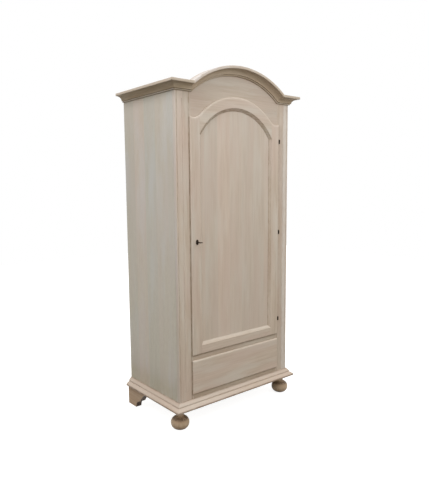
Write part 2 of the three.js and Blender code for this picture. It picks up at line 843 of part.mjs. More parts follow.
for (const [place, z] of Object.entries(hingeHeights)) {
  add(`hinge_frame_half_${place}`, frameHalf().translate(hingeX, hingeY, z), darkMetal());
  add(`hinge_door_half_${place}`, doorHalf().translate(hingeX, hingeY, z), darkMetal());
}

// Drawer
const drawerBoxHalfWidth = openingHalfWidth - drawerSideGap;
const boxFloor = drawerOpening[0] + glueLine;
const boxTop = drawerOpening[1] - drawerHeadroom;
const boxBackY = panelFaceY - drawerBackGap;
const bottomZ = [boxFloor + drawerBottomRise, boxFloor + drawerBottomRise + drawerBottomThickness];
const sideInner = drawerBoxHalfWidth - drawerSideThickness;
const grooveHalf = sideInner + drawerGrooveDepth;
const bottomGroove = board(
  [-grooveHalf - glueLine, grooveHalf + glueLine],
  [bodyBackY - drawerGrooveDepth - glueLine, boxBackY + overrun],
  grown(bottomZ, glueLine),
);
add("drawer_front", cut(lippedFront(drawerRing), bottomGroove), paleWood());
const drawerSide = cut(
  board(
    [sideInner, drawerBoxHalfWidth],
    [bodyBackY + glueLine, boxBackY],
    [boxFloor, boxTop],
  ),
  bottomGroove,
);
add("drawer_side_right", drawerSide, innerWood());
add("drawer_side_left", mirrored(drawerSide), innerWood());
add(
  "drawer_back",
  board(
    [-sideInner + glueLine, sideInner - glueLine],
    [boxBackY - drawerBackThickness, boxBackY],
    [bottomZ[1] + glueLine, boxTop],
  ),
  innerWood(),
);
add(
  "drawer_bottom",
  board([-grooveHalf, grooveHalf], [bodyBackY - drawerGrooveDepth, boxBackY], bottomZ),
  plywood(),
);

// Runners, guides and kickers
const runnerX = [drawerBoxHalfWidth - runnerReach, innerHalfWidth - glueLine];
const kickerBottom = boxTop + kickerGap;
function pair(name, geometry) {
  add(`${name}_right`, geometry, innerWood());
  add(`${name}_left`, mirrored(geometry), innerWood());
}
pair("runner", board(runnerX, betweenFrameAndBack, [drawerOpening[0] - boardThickness, drawerOpening[0]]));
pair("kicker", board(runnerX, betweenFrameAndBack, [kickerBottom, kickerBottom + boardThickness]));
pair(
  "guide",
  board(
    [drawerBoxHalfWidth + guideGap, drawerBoxHalfWidth + guideGap + guideWidth],
    betweenFrameAndBack,
    [drawerOpening[0] + glueLine, drawerOpening[0] + glueLine + guideHeight],
  ),
);

// Hanging rail in its sockets
const railY = (frameBackY + panelFaceY) / 2;
const railHeight = shelfHeight - railDrop;
const socket = cut(
  rod(socketRadius, socketDepth),
  rod(railRadius + glueLine, socketBore + overrun).translate(0, 0, socketDepth - socketBore),
);
const socketRight = socket.rotateY(-quarter).translate(innerHalfWidth - glueLine, railY, railHeight);
pair("rail_socket", socketRight);
const railHalf = innerHalfWidth - socketDepth + socketBore - glueLine * 2;
add(
  "hanging_rail",
  rod(railRadius, railHalf * 2).rotateY(quarter).translate(-railHalf, railY, railHeight),
  innerWood(),
);

export default wardrobe;
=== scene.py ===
# One-door wardrobe in pale limed wood. Every piece is a surface worked out in millimetres with numpy and
# put in its mesh in metres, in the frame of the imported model.
import math
from itertools import count

import bmesh
import bpy
import numpy as np
from mathutils import Matrix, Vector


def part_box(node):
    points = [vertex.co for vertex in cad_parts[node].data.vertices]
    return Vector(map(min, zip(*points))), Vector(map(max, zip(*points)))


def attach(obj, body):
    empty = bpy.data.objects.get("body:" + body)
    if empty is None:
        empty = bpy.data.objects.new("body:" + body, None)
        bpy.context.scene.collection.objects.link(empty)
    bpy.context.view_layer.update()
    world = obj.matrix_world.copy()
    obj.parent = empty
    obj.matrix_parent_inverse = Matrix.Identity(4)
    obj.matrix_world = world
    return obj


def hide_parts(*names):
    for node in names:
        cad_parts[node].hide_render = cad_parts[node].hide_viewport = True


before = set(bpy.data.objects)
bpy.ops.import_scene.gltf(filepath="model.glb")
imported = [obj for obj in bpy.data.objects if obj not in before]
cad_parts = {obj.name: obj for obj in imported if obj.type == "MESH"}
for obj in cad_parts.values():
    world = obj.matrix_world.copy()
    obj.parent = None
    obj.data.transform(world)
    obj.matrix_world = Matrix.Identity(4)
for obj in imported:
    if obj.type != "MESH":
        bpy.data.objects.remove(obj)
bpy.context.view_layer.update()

mm = 0.001
fullTurn = 2 * math.pi
bothSides = ((1, "right"), (-1, "left"))
openEnds = (False, False)
# Grain orders: the axes along the fibres, across the face and through the board.
upright, lying, straight = (2, 0, 1), (0, 2, 1), (0, 1, 2)
pieceNumbers = count(1)
join = np.concatenate
scene = bpy.context.scene
scene.view_settings.view_transform = "Standard"


# Points from their two coordinates.
def pairs(first, second):
    return np.stack([first, second], axis=-1)


# Quadratic curve (1 - t)^2 a + 2 t (1 - t) c + t^2 b from one point to another, pulled toward the bend.
def curveTo(first, bend, last, steps):
    share = np.linspace(0, 1, steps + 1)[:, None]
    first, bend, last = (np.asarray(point, float) for point in (first, bend, last))
    return (1 - share) ** 2 * first + 2 * share * (1 - share) * bend + share**2 * last


# Outline moved inward and its sharp corners eased. A corner moves by shift * (n1 + n2) / (1 + n1.n2), and
# its curve has a flat support point either side. The wear and light value is 1 on an outer corner, for
# worn edges, and -1 on an inner one, for painted shade in the corner.
def easedOutline(corners, radius, shift, support, steps=3, sharp=22.0):
    corners = np.asarray(corners, float)
    ahead = np.roll(corners, -1, axis=0) - corners
    length = np.linalg.norm(ahead, axis=1)
    ahead = ahead / length[:, None]
    before = np.roll(ahead, 1, axis=0)
    alike = np.sum(before * ahead, axis=1)
    turn = np.degrees(np.arctan2(before[:, 0] * ahead[:, 1] - before[:, 1] * ahead[:, 0], alike))
    inward = pairs(-ahead[:, 1], ahead[:, 0])
    mitre = (inward + np.roll(inward, 1, axis=0)) / (1 + alike[:, None])
    moved = corners + shift * mitre
    room = np.minimum(length, np.roll(length, 1))
    near = np.minimum(radius, 0.38 * room)[:, None]
    far = np.minimum(radius + support, 0.47 * room)[:, None]
    curve = curveTo((moved - before * near)[:, None], moved[:, None], (moved + ahead * near)[:, None], steps)
    points = join([(moved - before * far)[:, None], curve, (moved + ahead * far)[:, None]], axis=1)
    single = np.abs(turn) <= sharp
    wear = np.repeat(np.where(single, 0, np.sign(turn))[:, None], steps + 3, axis=1)
    wear[:, [0, -1]] = 0
    keep = np.repeat(~single[:, None], steps + 3, axis=1)
    points[single, 0] = moved[single]
    keep[single, 0] = True
    return points[keep], wear[keep]


# Points of an arc: centre plus radius times (cos, sin) of evenly spaced angles.
def arcPoints(centre, radius, first, last, steps):
    angle = np.radians(np.linspace(first, last, steps + 1))
    return pairs(centre[0] + radius * np.cos(angle), centre[1] + radius * np.sin(angle))


# The arc over the middle of the front, from x = half to x = -half.
def archOver(half, radius, centreZ):
    reach = math.degrees(math.asin(half / radius))
    return arcPoints((0, centreZ), radius, 90 - reach, 90 + reach, 60)


# Points of a grid: along goes to the named axis, first and second to the two others in their order.
def gridPoints(first, second, along, axis=2):
    parts = [first, second]
    parts.insert(axis, along)
    return np.stack(np.broadcast_arrays(*parts), axis=-1)


# A sheet is a grid of points, each with its grain coordinates and its value of wear and painted light and
# shade. The grain is an array, or the axes along the fibres, across the face and through the board. A ring
# joins the last column to the first, a loop the last row to the first, and a cap closes the first or last row.
def sheet(points, grain, wear=0.0, ring=True, loop=False, caps=(True, True)):
    grain = points[..., list(grain)] if isinstance(grain, tuple) else grain
    wear = np.broadcast_to(np.asarray(wear, float), points.shape[:2])
    return {"points": points, "grain": grain, "wear": wear, "ring": ring, "loop": loop, "caps": caps}


# The same sheet on the other side: x changes its sign, and the grain starts elsewhere.
def mirrorSheet(part, side, grainShift=(410.0, 0.0, 0.0)):
    if side > 0:
        return part
    return {**part, "points": part["points"] * np.array([-1.0, 1.0, 1.0]), "grain": part["grain"] + grainShift}


# A mesh's values as an array, one row for each point or face.
def readValues(items, key, width=1):
    values = np.empty(len(items) * width)
    items.foreach_get(key, values)
    return values.reshape(-1, width)


def setAttributes(mesh, grain, wear, seed):
    for word, kind, key, values in (
        ("grain", "FLOAT_VECTOR", "vector", grain),
        ("wear", "FLOAT", "value", wear),
        ("seed", "FLOAT", "value", np.full(len(wear), seed)),
    ):
        if word in mesh.attributes:
            mesh.attributes.remove(mesh.attributes[word])
        mesh.attributes.new(word, kind, "POINT").data.foreach_set(key, values.astype(np.float32).ravel())


def addObject(name, data):
    thing = bpy.data.objects.new(name, data)
    scene.collection.objects.link(thing)
    return thing


# Cuts a box from a piece. Its grain is a linear rule of place, found again from the uncut points, and the
# points that are new have no wear and no painted light.
def cutBox(piece, low, high, same=1e-6):
    mesh = piece.data
    places = readValues(mesh.vertices, "co", 3)
    grain = readValues(mesh.attributes["grain"].data, "vector", 3)
    wear = readValues(mesh.attributes["wear"].data, "value")[:, 0]
    seed = mesh.attributes["seed"].data[0].value
    rule = np.linalg.lstsq(np.c_[places, np.ones(len(places))], grain, rcond=None)[0]
    corners = [(x, y, z) for x in (low[0], high[0]) for y in (low[1], high[1]) for z in (low[2], high[2])]
    block = bpy.data.meshes.new("block")
    sides = [(0, 1, 3, 2), (4, 6, 7, 5), (0, 4, 5, 1), (2, 3, 7, 6), (0, 2, 6, 4), (1, 5, 7, 3)]
    block.from_pydata((np.array(corners) * mm).tolist(), [], sides)
    tool = addObject("block", block)
    cut = piece.modifiers.new("cut", "BOOLEAN")
    cut.object, cut.operation, cut.solver = tool, "DIFFERENCE", "EXACT"
    fresh = bpy.data.meshes.new_from_object(piece.evaluated_get(bpy.context.evaluated_depsgraph_get()))
    piece.modifiers.remove(cut)
    bpy.data.objects.remove(tool)
    bpy.data.meshes.remove(block)
    piece.data = fresh
    bpy.data.meshes.remove(mesh)
    after = readValues(fresh.vertices, "co", 3)
    apart = np.linalg.norm(after[:, None] - places[None], axis=2)
    newWear = np.where(apart.min(axis=1) < same, wear[apart.argmin(axis=1)], 0)
    setAttributes(fresh, np.c_[after, np.ones(len(after))] @ rule, newWear, seed)


# The name of a node in a piece's manner: crown_front_left becomes crownFrontLeft.
def pieceName(node):
    first, *rest = node.split("_")
    return first + "".join(word.capitalize() for word in rest)


# Puts sheets in a mesh, merges the points that meet, turns the faces outward, cuts boxes from it, gives it
# its finish's material, parents it to its body and hides the nodes it stands for (the node it is named
# after, if not told).
def makePiece(node, sheets, finish, body="carcass", nodes=None, name=None, sharp=38.0, weighted=True, cuts=()):
    number = next(pieceNumbers)
    name = name or pieceName(node)
    nodes = [node] if nodes is None else nodes
    material, slotName = finishes[finish]
    points, grain, wear, faces = [], [], [], []
    start = 0
    for part in sheets:
        rows, columns = part["points"].shape[:2]
        index = np.arange(rows * columns).reshape(rows, columns) + start
        grid = join([index, index[:, :1]], axis=1) if part["ring"] else index
        grid = join([grid, grid[:1]], axis=0) if part["loop"] else grid
        quads = np.stack([grid[:-1, :-1], grid[:-1, 1:], grid[1:, 1:], grid[1:, :-1]], axis=-1)
        faces += quads.reshape(-1, 4).tolist()
        faces += [cap.tolist() for cap, closed in zip((index[0][::-1], index[-1]), part["caps"]) if closed]
        points.append(part["points"].reshape(-1, 3))
        grain.append(part["grain"].reshape(-1, 3))
        wear.append(part["wear"].reshape(-1))
        start += rows * columns
    mesh = bpy.data.meshes.new(name)
    mesh.from_pydata((join(points) * mm).tolist(), [], faces)
    shift = np.array([0.71, 0.37, 0.53]) * (number % 17)
    setAttributes(mesh, join(grain) * mm + shift, join(wear), number)
    shell = bmesh.new()
    shell.from_mesh(mesh)
    bmesh.ops.remove_doubles(shell, verts=shell.verts, dist=2e-6)
    bmesh.ops.recalc_face_normals(shell, faces=shell.faces)
    shell.to_mesh(mesh)
    shell.free()
    mesh.materials.append(material)
    piece = addObject(name, mesh)
    for low, high in cuts:
        cutBox(piece, low, high)
    piece.data.name = name
    piece.data.shade_smooth()
    piece.data.set_sharp_from_angle(angle=math.radians(sharp))
    if weighted:
        piece.modifiers.new("evenShading", "WEIGHTED_NORMAL").keep_sharp = True
    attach(piece, body)
    if nodes:
        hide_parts(*nodes)
    return piece


# The faces of a piece that look along a direction, whose cosine with it is over a limit, take a second
# finish if they lie farther along it than a distance.
def secondFinish(piece, direction, finish, limit=0.9, beyond=-9999.0):
    mesh = piece.data
    facing = readValues(mesh.polygons, "normal", 3) @ np.array(direction, float)
    reach = readValues(mesh.polygons, "center", 3) @ np.array(direction, float)
    mesh.materials.append(finishes[finish][0])
    chosen = (facing > limit) & (reach > beyond * mm)
    mesh.polygons.foreach_set("material_index", chosen.astype(np.int32))


# A board: its outline, which turns to the left in the two other axes in their order, is carried along an
# axis. Near an end the rings pull in by radius * (1 - sin a) and advance by radius * (1 - cos a).
def boardSheet(corners, axis, low, high, grainOrder, radius, support=2.0, extra=()):
    angle = np.radians([0, 30, 60, 90])
    inset = join([[radius + support], radius * (1 - np.sin(angle)), [0.0]])
    advance = join([[0.0], radius * (1 - np.cos(angle)), [radius + support]])
    endWear = np.array([0, 1, 1, 1, 1, 0], float)
    middle = np.asarray(extra, float)
    along = join([low + advance, middle, (high - advance)[::-1]])
    ends = join([endWear, 0 * middle, endWear[::-1]])[:, None]
    pull = join([inset, 0 * middle, inset[::-1]])
    flat, wear = map(np.stack, zip(*(easedOutline(corners, radius, shift, support) for shift in pull)))
    wear = np.where(np.abs(wear) > ends, wear, ends)
    wear[[0, -1]] = 0
    return sheet(gridPoints(flat[..., 0], flat[..., 1], along[:, None], axis), grainOrder, wear)


# Lowest and highest corners of a node, in millimetres.
def nodeBox(node):
    low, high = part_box(node)
    return np.array(low) / mm, np.array(high) / mm


# The board that fills a node's box. If not told otherwise, its grain runs along the axis, and its face is
# as wide as the longer of the two other sides.
def nodeBoard(node, axis, radius, grainOrder=None, support=2.0):
    low, high = nodeBox(node)
    first, second = others = [index for index in range(3) if index != axis]
    across, through = sorted(others, key=lambda index: low[index] - high[index])
    corners = [(low[first], low[second]), (high[first], low[second])]
    corners += [(high[first], high[second]), (low[first], high[second])]
    order = grainOrder or (axis, across, through)
    return boardSheet(corners, axis, low[axis], high[axis], order, radius, support)


# A turned piece: radius and height pairs carried round an axis through the centre.
def turnedSheet(profile, centre, axis, sides, wear=0.0, caps=(True, True), grainOrder=upright):
    profile = np.asarray(profile, float)
    angle = np.linspace(0, fullTurn, sides, endpoint=False)
    first = centre[0] + profile[:, :1] * np.cos(angle)
    second = centre[1] + profile[:, :1] * np.sin(angle)
    points = gridPoints(first, second, profile[:, 1:], axis)
    return sheet(points, grainOrder, np.reshape(wear, (-1, 1)), caps=caps)


# Materials. The tree that is being built, which every new node goes to.
building = {}


def emptyTree(owner):
    owner.use_nodes = True
    owner.node_tree.nodes.clear()
    building["tree"] = owner.node_tree


# Fills a node's inputs, each with a value or with another node's output.
def setInputs(node, values):
    for key, value in values.items():
        if isinstance(value, bpy.types.NodeSocket):
            building["tree"].links.new(value, node.inputs[key])
        else:
            node.inputs[key].default_value = value


def addNode(kind, values=(), **settings):
    node = building["tree"].nodes.new("ShaderNode" + kind)
    for key, value in settings.items():
        setattr(node, key, value)
    setInputs(node, dict(values))
    return node


def calc(operation, *values, clamp=False):
    return addNode("Math", dict(enumerate(values)), operation=operation, use_clamp=clamp).outputs[0]


# First times second plus third.
def times(first, second, third=0.0, clamp=False):
    return calc("MULTIPLY_ADD", first, second, third, clamp=clamp)


# Noise on a vector stretched by three amounts per metre.
def noise(vector, amounts, detail=2.0, roughness=0.5, distortion=0.0):
    place = addNode("VectorMath", {0: vector, 1: amounts}, operation="MULTIPLY").outputs[0]
    values = {"Vector": place, "Scale": 1.0, "Detail": detail, "Roughness": roughness, "Distortion": distortion}
    return addNode("TexNoise", values).outputs[0]


# Value, from low, from high, to low, to high: moved from one range to another, smooth at both ends.
def smoothRange(*values):
    return addNode("MapRange", dict(enumerate(values)), interpolation_type="SMOOTHSTEP").outputs[0]


def mixColour(amount, first, second, mode="MIX"):
    values = {0: amount, 6: first, 7: second}
    return addNode("Mix", values, data_type="RGBA", blend_type=mode).outputs[2]


def attribute(name, output="Fac"):
    return addNode("Attribute", attribute_name=name).outputs[output]


def emptyMaterial(name):
    material = bpy.data.materials.new(name)
    emptyTree(material)
    return material


# Closes a material or world: its last node goes to the output.
def finishTree(shader, kind="Material"):
    addNode("Output" + kind, {0: shader.outputs[0]})


# The shader of a finish: its colour, roughness and plain values, and bumps of a strength and depth.
def makeShader(colour, rough, height, strength, depth, plain):
    bump = addNode("Bump", {"Strength": strength, "Distance": depth, "Height": height}).outputs[0]
    finishTree(addNode("BsdfPrincipled", {"Base Color": colour, "Roughness": rough, "Normal": bump, **plain}))


# A screen colour of 0 to 255 made linear: ((c + 0.055) / 1.055) ^ 2.4.
def screenColour(levels):
    share = np.array(levels) / 255
    linear = np.where(share <= 0.04045, share / 12.92, ((share + 0.055) / 1.055) ** 2.4)
    return (*linear.tolist(), 1.0)


colourWords = ("pale", "dark", "lime", "blush", "tintCool", "tintWarm", "worn", "hollow", "rubbed")


def linearLook(look):
    return {key: screenColour(value) if key in colourWords else value for key, value in look.items()}


# Noises of the wood: stretch per metre along, across and through the board, detail, roughness, distortion.
woodNoise = {
    "bands": ((2.6, 24, 16), 2, 0.55, 0.3),
    "streaks": ((3.6, 80, 60), 4, 0.66),
    "fibres": ((16, 1000, 700), 2, 0.6),
    "pores": ((45, 1700, 1300), 1),
    "patch": ((2.2, 9, 9), 2),
    "bend": ((0.9, 5.5, 5.5), 1.5),
    "broken": ((30, 110, 110), 3),
}


# Limed wood. The grain coordinates are stretched noises: broad bands, streaks, fibres and pores run along
# the board, ring lines are |sin| of the distance across bent by a slow noise, lime lies in soft patches,
# and each glued board has its own tone, from its number and the piece's seed. Where the wear and light value
# is above 0, the worn colour is mixed in, for worn edges and painted highlights. Where it is below 0, the
# colour is darkened toward the hollow colour, for patina and painted shade.
def limedWood(name, look):
    material = emptyMaterial(name)
    grain = attribute("grain", "Vector")
    wear = attribute("wear")
    across = addNode("SeparateXYZ", {0: grain}).outputs[1]
    board = times(calc("ROUND", attribute("seed")), 41.0)
    if look["boardWidth"]:
        board = calc("ADD", board, calc("FLOOR", calc("DIVIDE", across, look["boardWidth"])))
    chance = addNode("TexWhiteNoise", {"W": board}, noise_dimensions="1D")
    values = {0: chance.outputs["Color"], 1: (2.3, 1.1, 0.7), 2: grain}
    moved = addNode("VectorMath", values, operation="MULTIPLY_ADD").outputs[0]
    bands, streaks, fibres, pores, patch, bend, broken = (noise(moved, *row) for row in woodNoise.values())
    lime = noise(moved, look["limeStretch"], 4, 0.62)
    ringAt = times(bend, look["ringBend"], times(across, look["ringsPerMetre"]))
    ring = calc("ABSOLUTE", calc("SINE", times(ringAt, math.pi)))
    ring = calc("POWER", calc("SUBTRACT", 1.0, ring), 2.6)
    ring = times(ring, smoothRange(patch, 0.35, 0.7))
    figure = times(smoothRange(bands, 0.3, 0.72), look["bandShare"])
    figure = times(smoothRange(streaks, 0.32, 0.72), look["streakShare"], figure)
    figure = times(ring, look["ringShare"], figure, clamp=True)
    colour = mixColour(figure, look["pale"], look["dark"])
    colour = mixColour(smoothRange(lime, 0.42, 0.64, 0.0, look["limeShare"]), colour, look["lime"])
    warmth = times(smoothRange(patch, 0.38, 0.66), look["blushShare"])
    colour = mixColour(warmth, colour, look["blush"])
    tint = mixColour(chance.outputs["Value"], look["tintCool"], look["tintWarm"])
    colour = mixColour(look["tintShare"], colour, tint)
    tone = times(chance.outputs["Value"], look["boardContrast"], 1 - look["boardContrast"] / 2)
    fine = times(fibres, look["fibreContrast"], 1 - look["fibreContrast"] / 2)
    porous = smoothRange(pores, 0.66, 0.8, 1.0, look["poreTone"])
    tone = times(times(tone, fine), porous)
    shade = addNode("CombineColor", {0: tone, 1: tone, 2: tone}).outputs[0]
    colour = mixColour(1.0, colour, shade, "MULTIPLY")
    broken = smoothRange(broken, 0.3, 0.7, 0.4, 1.0)
    # Worn edges and painted highlights: the worn colour where the value is above 0.
    worn = times(calc("MAXIMUM", wear, 0.0), look["wornShare"])
    colour = mixColour(times(worn, broken, clamp=True), colour, look["worn"])
    # Patina and painted shade: the colour darkened where the value is below 0.
    hollow = times(calc("MAXIMUM", times(wear, -1.0), 0.0), look["hollowShare"])
    stainAndShade = tuple(min(1.0, deepShade / plain) for deepShade, plain in zip(look["hollow"], look["pale"]))
    colour = mixColour(times(hollow, broken, clamp=True), colour, stainAndShade, "MULTIPLY")
    rough = times(fibres, 0.16, look["roughness"] - 0.08)
    relief = times(porous, 0.6, times(fibres, 0.5, times(streaks, 0.6)))
    relief = times(ring, -0.35, relief)
    plain = {"Specular IOR Level": look["specular"]}
    makeShader(colour, times(ring, -0.05, rough), relief, 0.35, look["relief"], plain)
    return material


# Metal: two tones of its patina in cloudy noise, brighter where it is handled, with fine scratches along
# its length and a rough, faintly pitted skin.
def wornMetal(name, look):
    material = emptyMaterial(name)
    grain = attribute("grain", "Vector")
    cloud = noise(grain, (160, 160, 160), 4, 0.6)
    pits = noise(grain, (900, 900, 900), 2)
    lines = noise(grain, (90, 2600, 2600), 1)
    colour = mixColour(smoothRange(cloud, 0.35, 0.65), look["dark"], look["pale"])
    handled = calc("MAXIMUM", attribute("wear"), 0.0)
    rubbed = times(handled, smoothRange(cloud, 0.3, 0.6), clamp=True)
    colour = mixColour(times(rubbed, look["rubbedShare"]), colour, look["rubbed"])
    rough = smoothRange(cloud, 0.3, 0.7, look["roughness"] - 0.1, look["roughness"] + 0.1)
    plain = {"Metallic": look["metallic"], "Specular IOR Level": 0.35}
    makeShader(colour, times(lines, 0.08, rough), times(lines, 0.4, pits), 0.3, look["relief"], plain)
    return material


# Woods: material, slot, the wood each starts from and what differs from that one. Colours are screen
# levels of 0 to 255, and boardWidth is in metres, 0 where the piece is one board.
woods = {
    "front": ("limedFront", "pale_wood", None, dict(
        pale=(203, 189, 171), dark=(174, 156, 134), lime=(202, 196, 183), limeShare=0.55,
        limeStretch=(2.6, 16, 16), blush=(196, 173, 157), blushShare=0.5, tintCool=(188, 180, 166),
        tintWarm=(194, 176, 160), tintShare=0.2, worn=(213, 203, 188), wornShare=0.45,
        hollow=(140, 120, 94), hollowShare=0.75, boardWidth=0, boardContrast=0.03, bandShare=0.4,
        streakShare=0.46, ringShare=0.5, ringsPerMetre=70.0, ringBend=5.0, fibreContrast=0.1,
        poreTone=0.88, roughness=0.56, specular=0.3, relief=0.0004,
    )),
    # The stile's worn colour is mixed in more strongly, for the painted highlights on its flute and strip.
    "stile": ("limedStile", "pale_wood", "front", dict(worn=(209, 201, 190), wornShare=0.9)),
    # The tympanum takes a darker copy of the front's wood: painted shade under the crown.
    "tympanum": ("limedTympanum", "pale_wood", "front", dict(
        pale=(192, 179, 162), dark=(166, 148, 128), lime=(192, 186, 173), blush=(187, 165, 148),
    )),
    # The rails that sit back under the door and the drawer take darker copies of the front's wood: painted
    # shade.
    "middleRail": ("limedMiddleRail", "pale_wood", "front", dict(
        pale=(190, 176, 158), dark=(160, 142, 119), lime=(192, 184, 168), blush=(184, 163, 144),
    )),
    "lowerRail": ("limedLowerRail", "pale_wood", "front", dict(
        pale=(184, 167, 146), dark=(158, 138, 114), lime=(184, 174, 156), blush=(178, 156, 136),
    )),
    "panel": ("limedGluedPanel", "pale_wood", "front", dict(
        boardWidth=0.096, boardContrast=0.05, tintShare=0.45, ringBend=4.0, ringShare=0.4,
        limeStretch=(2.4, 15, 15),
    )),
    "side": ("limedSideBoards", "side_wood", "panel", dict(
        pale=(194, 187, 171), dark=(173, 162, 143), lime=(193, 191, 189), limeShare=0.75,
        limeStretch=(1.9, 10, 10), blush=(190, 175, 163), blushShare=0.6, tintCool=(181, 179, 165),
        tintWarm=(190, 176, 162), worn=(209, 204, 186), hollow=(165, 155, 115), boardWidth=0.118,
    )),
    "crown": ("limedCrown", "crown_wood", "front", dict(
        pale=(178, 160, 132), dark=(147, 125, 95), lime=(190, 177, 156), blush=(178, 155, 130),
        tintCool=(176, 162, 138), tintWarm=(180, 160, 135), worn=(202, 196, 187), wornShare=0.75,
        hollow=(120, 99, 70), hollowShare=0.6, streakShare=0.5,
    )),
    # The arched crown takes a paler copy of the crown's wood with a whiter worn colour: painted light.
    "arch": ("limedArch", "crown_wood", "crown", dict(
        pale=(191, 173, 149), dark=(160, 138, 110), worn=(214, 210, 205), wornShare=1.1,
        hollow=(134, 112, 85),
    )),
    # The base moulding's hollow colour is mixed in fully, for its painted shade.
    "base": ("limedBaseMoulding", "pale_wood", "front", dict(
        pale=(203, 187, 170), dark=(181, 160, 139), lime=(204, 195, 182), blush=(199, 178, 160),
        wornShare=0.4, hollow=(130, 108, 84), hollowShare=1.0,
    )),
    # The feet's hollow colour is near black and mixed in strongly, for their painted shadow.
    "foot": ("turnedFeet", "pale_wood", "front", dict(
        pale=(180, 154, 125), dark=(144, 116, 86), lime=(189, 169, 143), blush=(165, 137, 110),
        tintCool=(163, 141, 116), tintWarm=(165, 142, 115), hollow=(62, 42, 22), hollowShare=1.4,
        worn=(200, 181, 154), wornShare=0.7, streakShare=0.5,
    )),
    "inner": ("planedInside", "inner_wood", "panel", dict(
        pale=(222, 205, 174), dark=(200, 174, 134), lime=(224, 212, 188), limeShare=0.25,
        blush=(214, 188, 150), tintCool=(216, 200, 170), tintWarm=(214, 192, 156), tintShare=0.4,
        worn=(226, 212, 186), hollow=(170, 142, 104), boardWidth=0.088,
    )),
    "plywood": ("backSheet", "plywood", "inner", dict(
        pale=(219, 200, 168), dark=(198, 173, 134), boardWidth=0, ringsPerMetre=24.0, ringBend=9.0,
        bandShare=0.5,
    )),
}
metals = {
    "darkMetal": ("antiquedIron", "dark_metal", dict(
        dark=(26, 19, 13), pale=(48, 37, 27), rubbed=(92, 75, 54), rubbedShare=0.45, metallic=0.7,
        roughness=0.5, relief=0.0003,
    )),
    "steel": ("zincSteel", "steel", dict(
        dark=(138, 136, 131), pale=(158, 157, 152), rubbed=(184, 183, 178), rubbedShare=0.6, metallic=0.9,
        roughness=0.52, relief=0.0002,
    )),
}
looks, finishes = {None: {}}, {}
for word, (name, slotName, start, changes) in woods.items():
    looks[word] = {**looks[start], **changes}
    finishes[word] = (limedWood(name, linearLook(looks[word])), slotName)
for word, (name, slotName, look) in metals.items():
    finishes[word] = (wornMetal(name, linearLook(look)), slotName)
print("materials ready")

# Plain boards: long axis and edge radius, then wood and body if they aren't inner wood of the carcass. Those
# that run from front to back come in pairs.
plainBoards = {
    "compartment_floor": (0, 1.2), "hat_shelf": (0, 2.0), "top_board": (0, 1.2), "base_board": (0, 1.5),
    "back_panel": (2, 0.8, "plywood"), "shelf_batten": (1, 2.0), "floor_batten": (1, 2.0), "runner": (1, 1.5),
    "kicker": (1, 1.5), "guide": (1, 1.5), "drawer_back": (0, 1.5, "inner", "drawer"),
    "drawer_bottom": (0, 0.6, "plywood", "drawer"),
}
for name, (axis, radius, *rest) in plainBoards.items():
    for ending in ("_right", "_left") if axis == 1 else ("",):
        makePiece(name + ending, [nodeBoard(name + ending, axis, radius)], *(rest or ["inner"]))

# Where the lock, its bolt and the strike plate are let in: lowest and highest corners of each cut.
lockCuts = {
    "bolt": ((-353.0, -244.5, 1103.0), (-343.0, -236.5, 1123.0)),
    "strike": ((-345.8, -245.8, 1087.7), (-343.0, -235.2, 1138.3)),
    "pocket": ((-343.0, -246.3, 1080.7), (-295.4, -234.0, 1139.3)),
    "channel": ((-343.0, -243.8, 1103.7), (-296.9, -237.2, 1122.3)),
}

# Carcass. The side's painted light is pairs of height and value, and glue is half the gap of a glued joint.
carcass = {
    "halfWidth": 446.0, "frontY": -246.0, "backY": 300.0, "rebateY": 292.0, "rebateReach": 10.0, "glue": 0.15,
    "sideLime": (
        (130, -0.6), (230, -0.5), (340, 0.5), (450, 0.75), (800, 0.75),
        (1200, 0.4), (1450, 0.0), (1650, -0.28), (1930, -0.28),
    ),
}


# A side board: a rectangle with the rebate for the back panel cut from its inner back edge. Light is painted
# on it by height: lighter at half height, with painted shade under the crown and above the base.
def sideBoard():
    low, high = nodeBox("side_right")
    step = low[0] + carcass["rebateReach"]
    corners = [(low[0], low[1]), (high[0], low[1]), (high[0], high[1]), (step, high[1])]
    corners += [(step, carcass["rebateY"]), (low[0], carcass["rebateY"])]
    levels, lime = np.array(carcass["sideLime"]).T
    part = boardSheet(corners, 2, low[2], high[2], (2, 1, 0), 0.8, extra=levels[1:-1])
    # Painted light by height, added to the board's wear and light values.
    part["wear"] = np.clip(part["wear"] + np.interp(part["points"][..., 2], levels, lime), -1, 1)
    return part


# Widths, depths and heights of the stile's parts, then for each side the painted light and shade across its
# face: in the flute, in the door lip's painted shadow, under the crown, and on the strip, quirk and bead.
frameStile = {
    "inner": 344.0, "flute": 400.5, "fluteRadius": 3.5, "fluteLow": 218.0, "fluteHigh": 1886.0,
    "quirkStart": 432.0, "quirkDepth": 2.5, "beadRadius": 5.0, "seam": 1.5,
    "fluteWear": {1: (-0.35, 1.0), -1: (0.15, 0.15)},
    "lipWear": {1: [-1, -0.9, -0.4, -0.2], -1: [-1, -0.9, 0, 0]},
    "headFrom": 1790, "headDirt": {1: 0.2, -1: 0.8},
    "headTone": {1: -0.08, -1: -0.18},
    "afterWear": {1: [1, 1, 0.9, 0.6, -0.1, -0.1], -1: [0, 0, 0.1, 0, -0.7, -0.7]},
    "beadWear": {
        1: [-0.5, 0, 0.2, 0.3, 0.3, 0.2, 0.2, 0.1, 0, 0, 0],
        -1: [-0.6, -0.2, 0, 0.1, 0.1, 0.1, 0.1, 0, 0, 0, 0],
    },
}


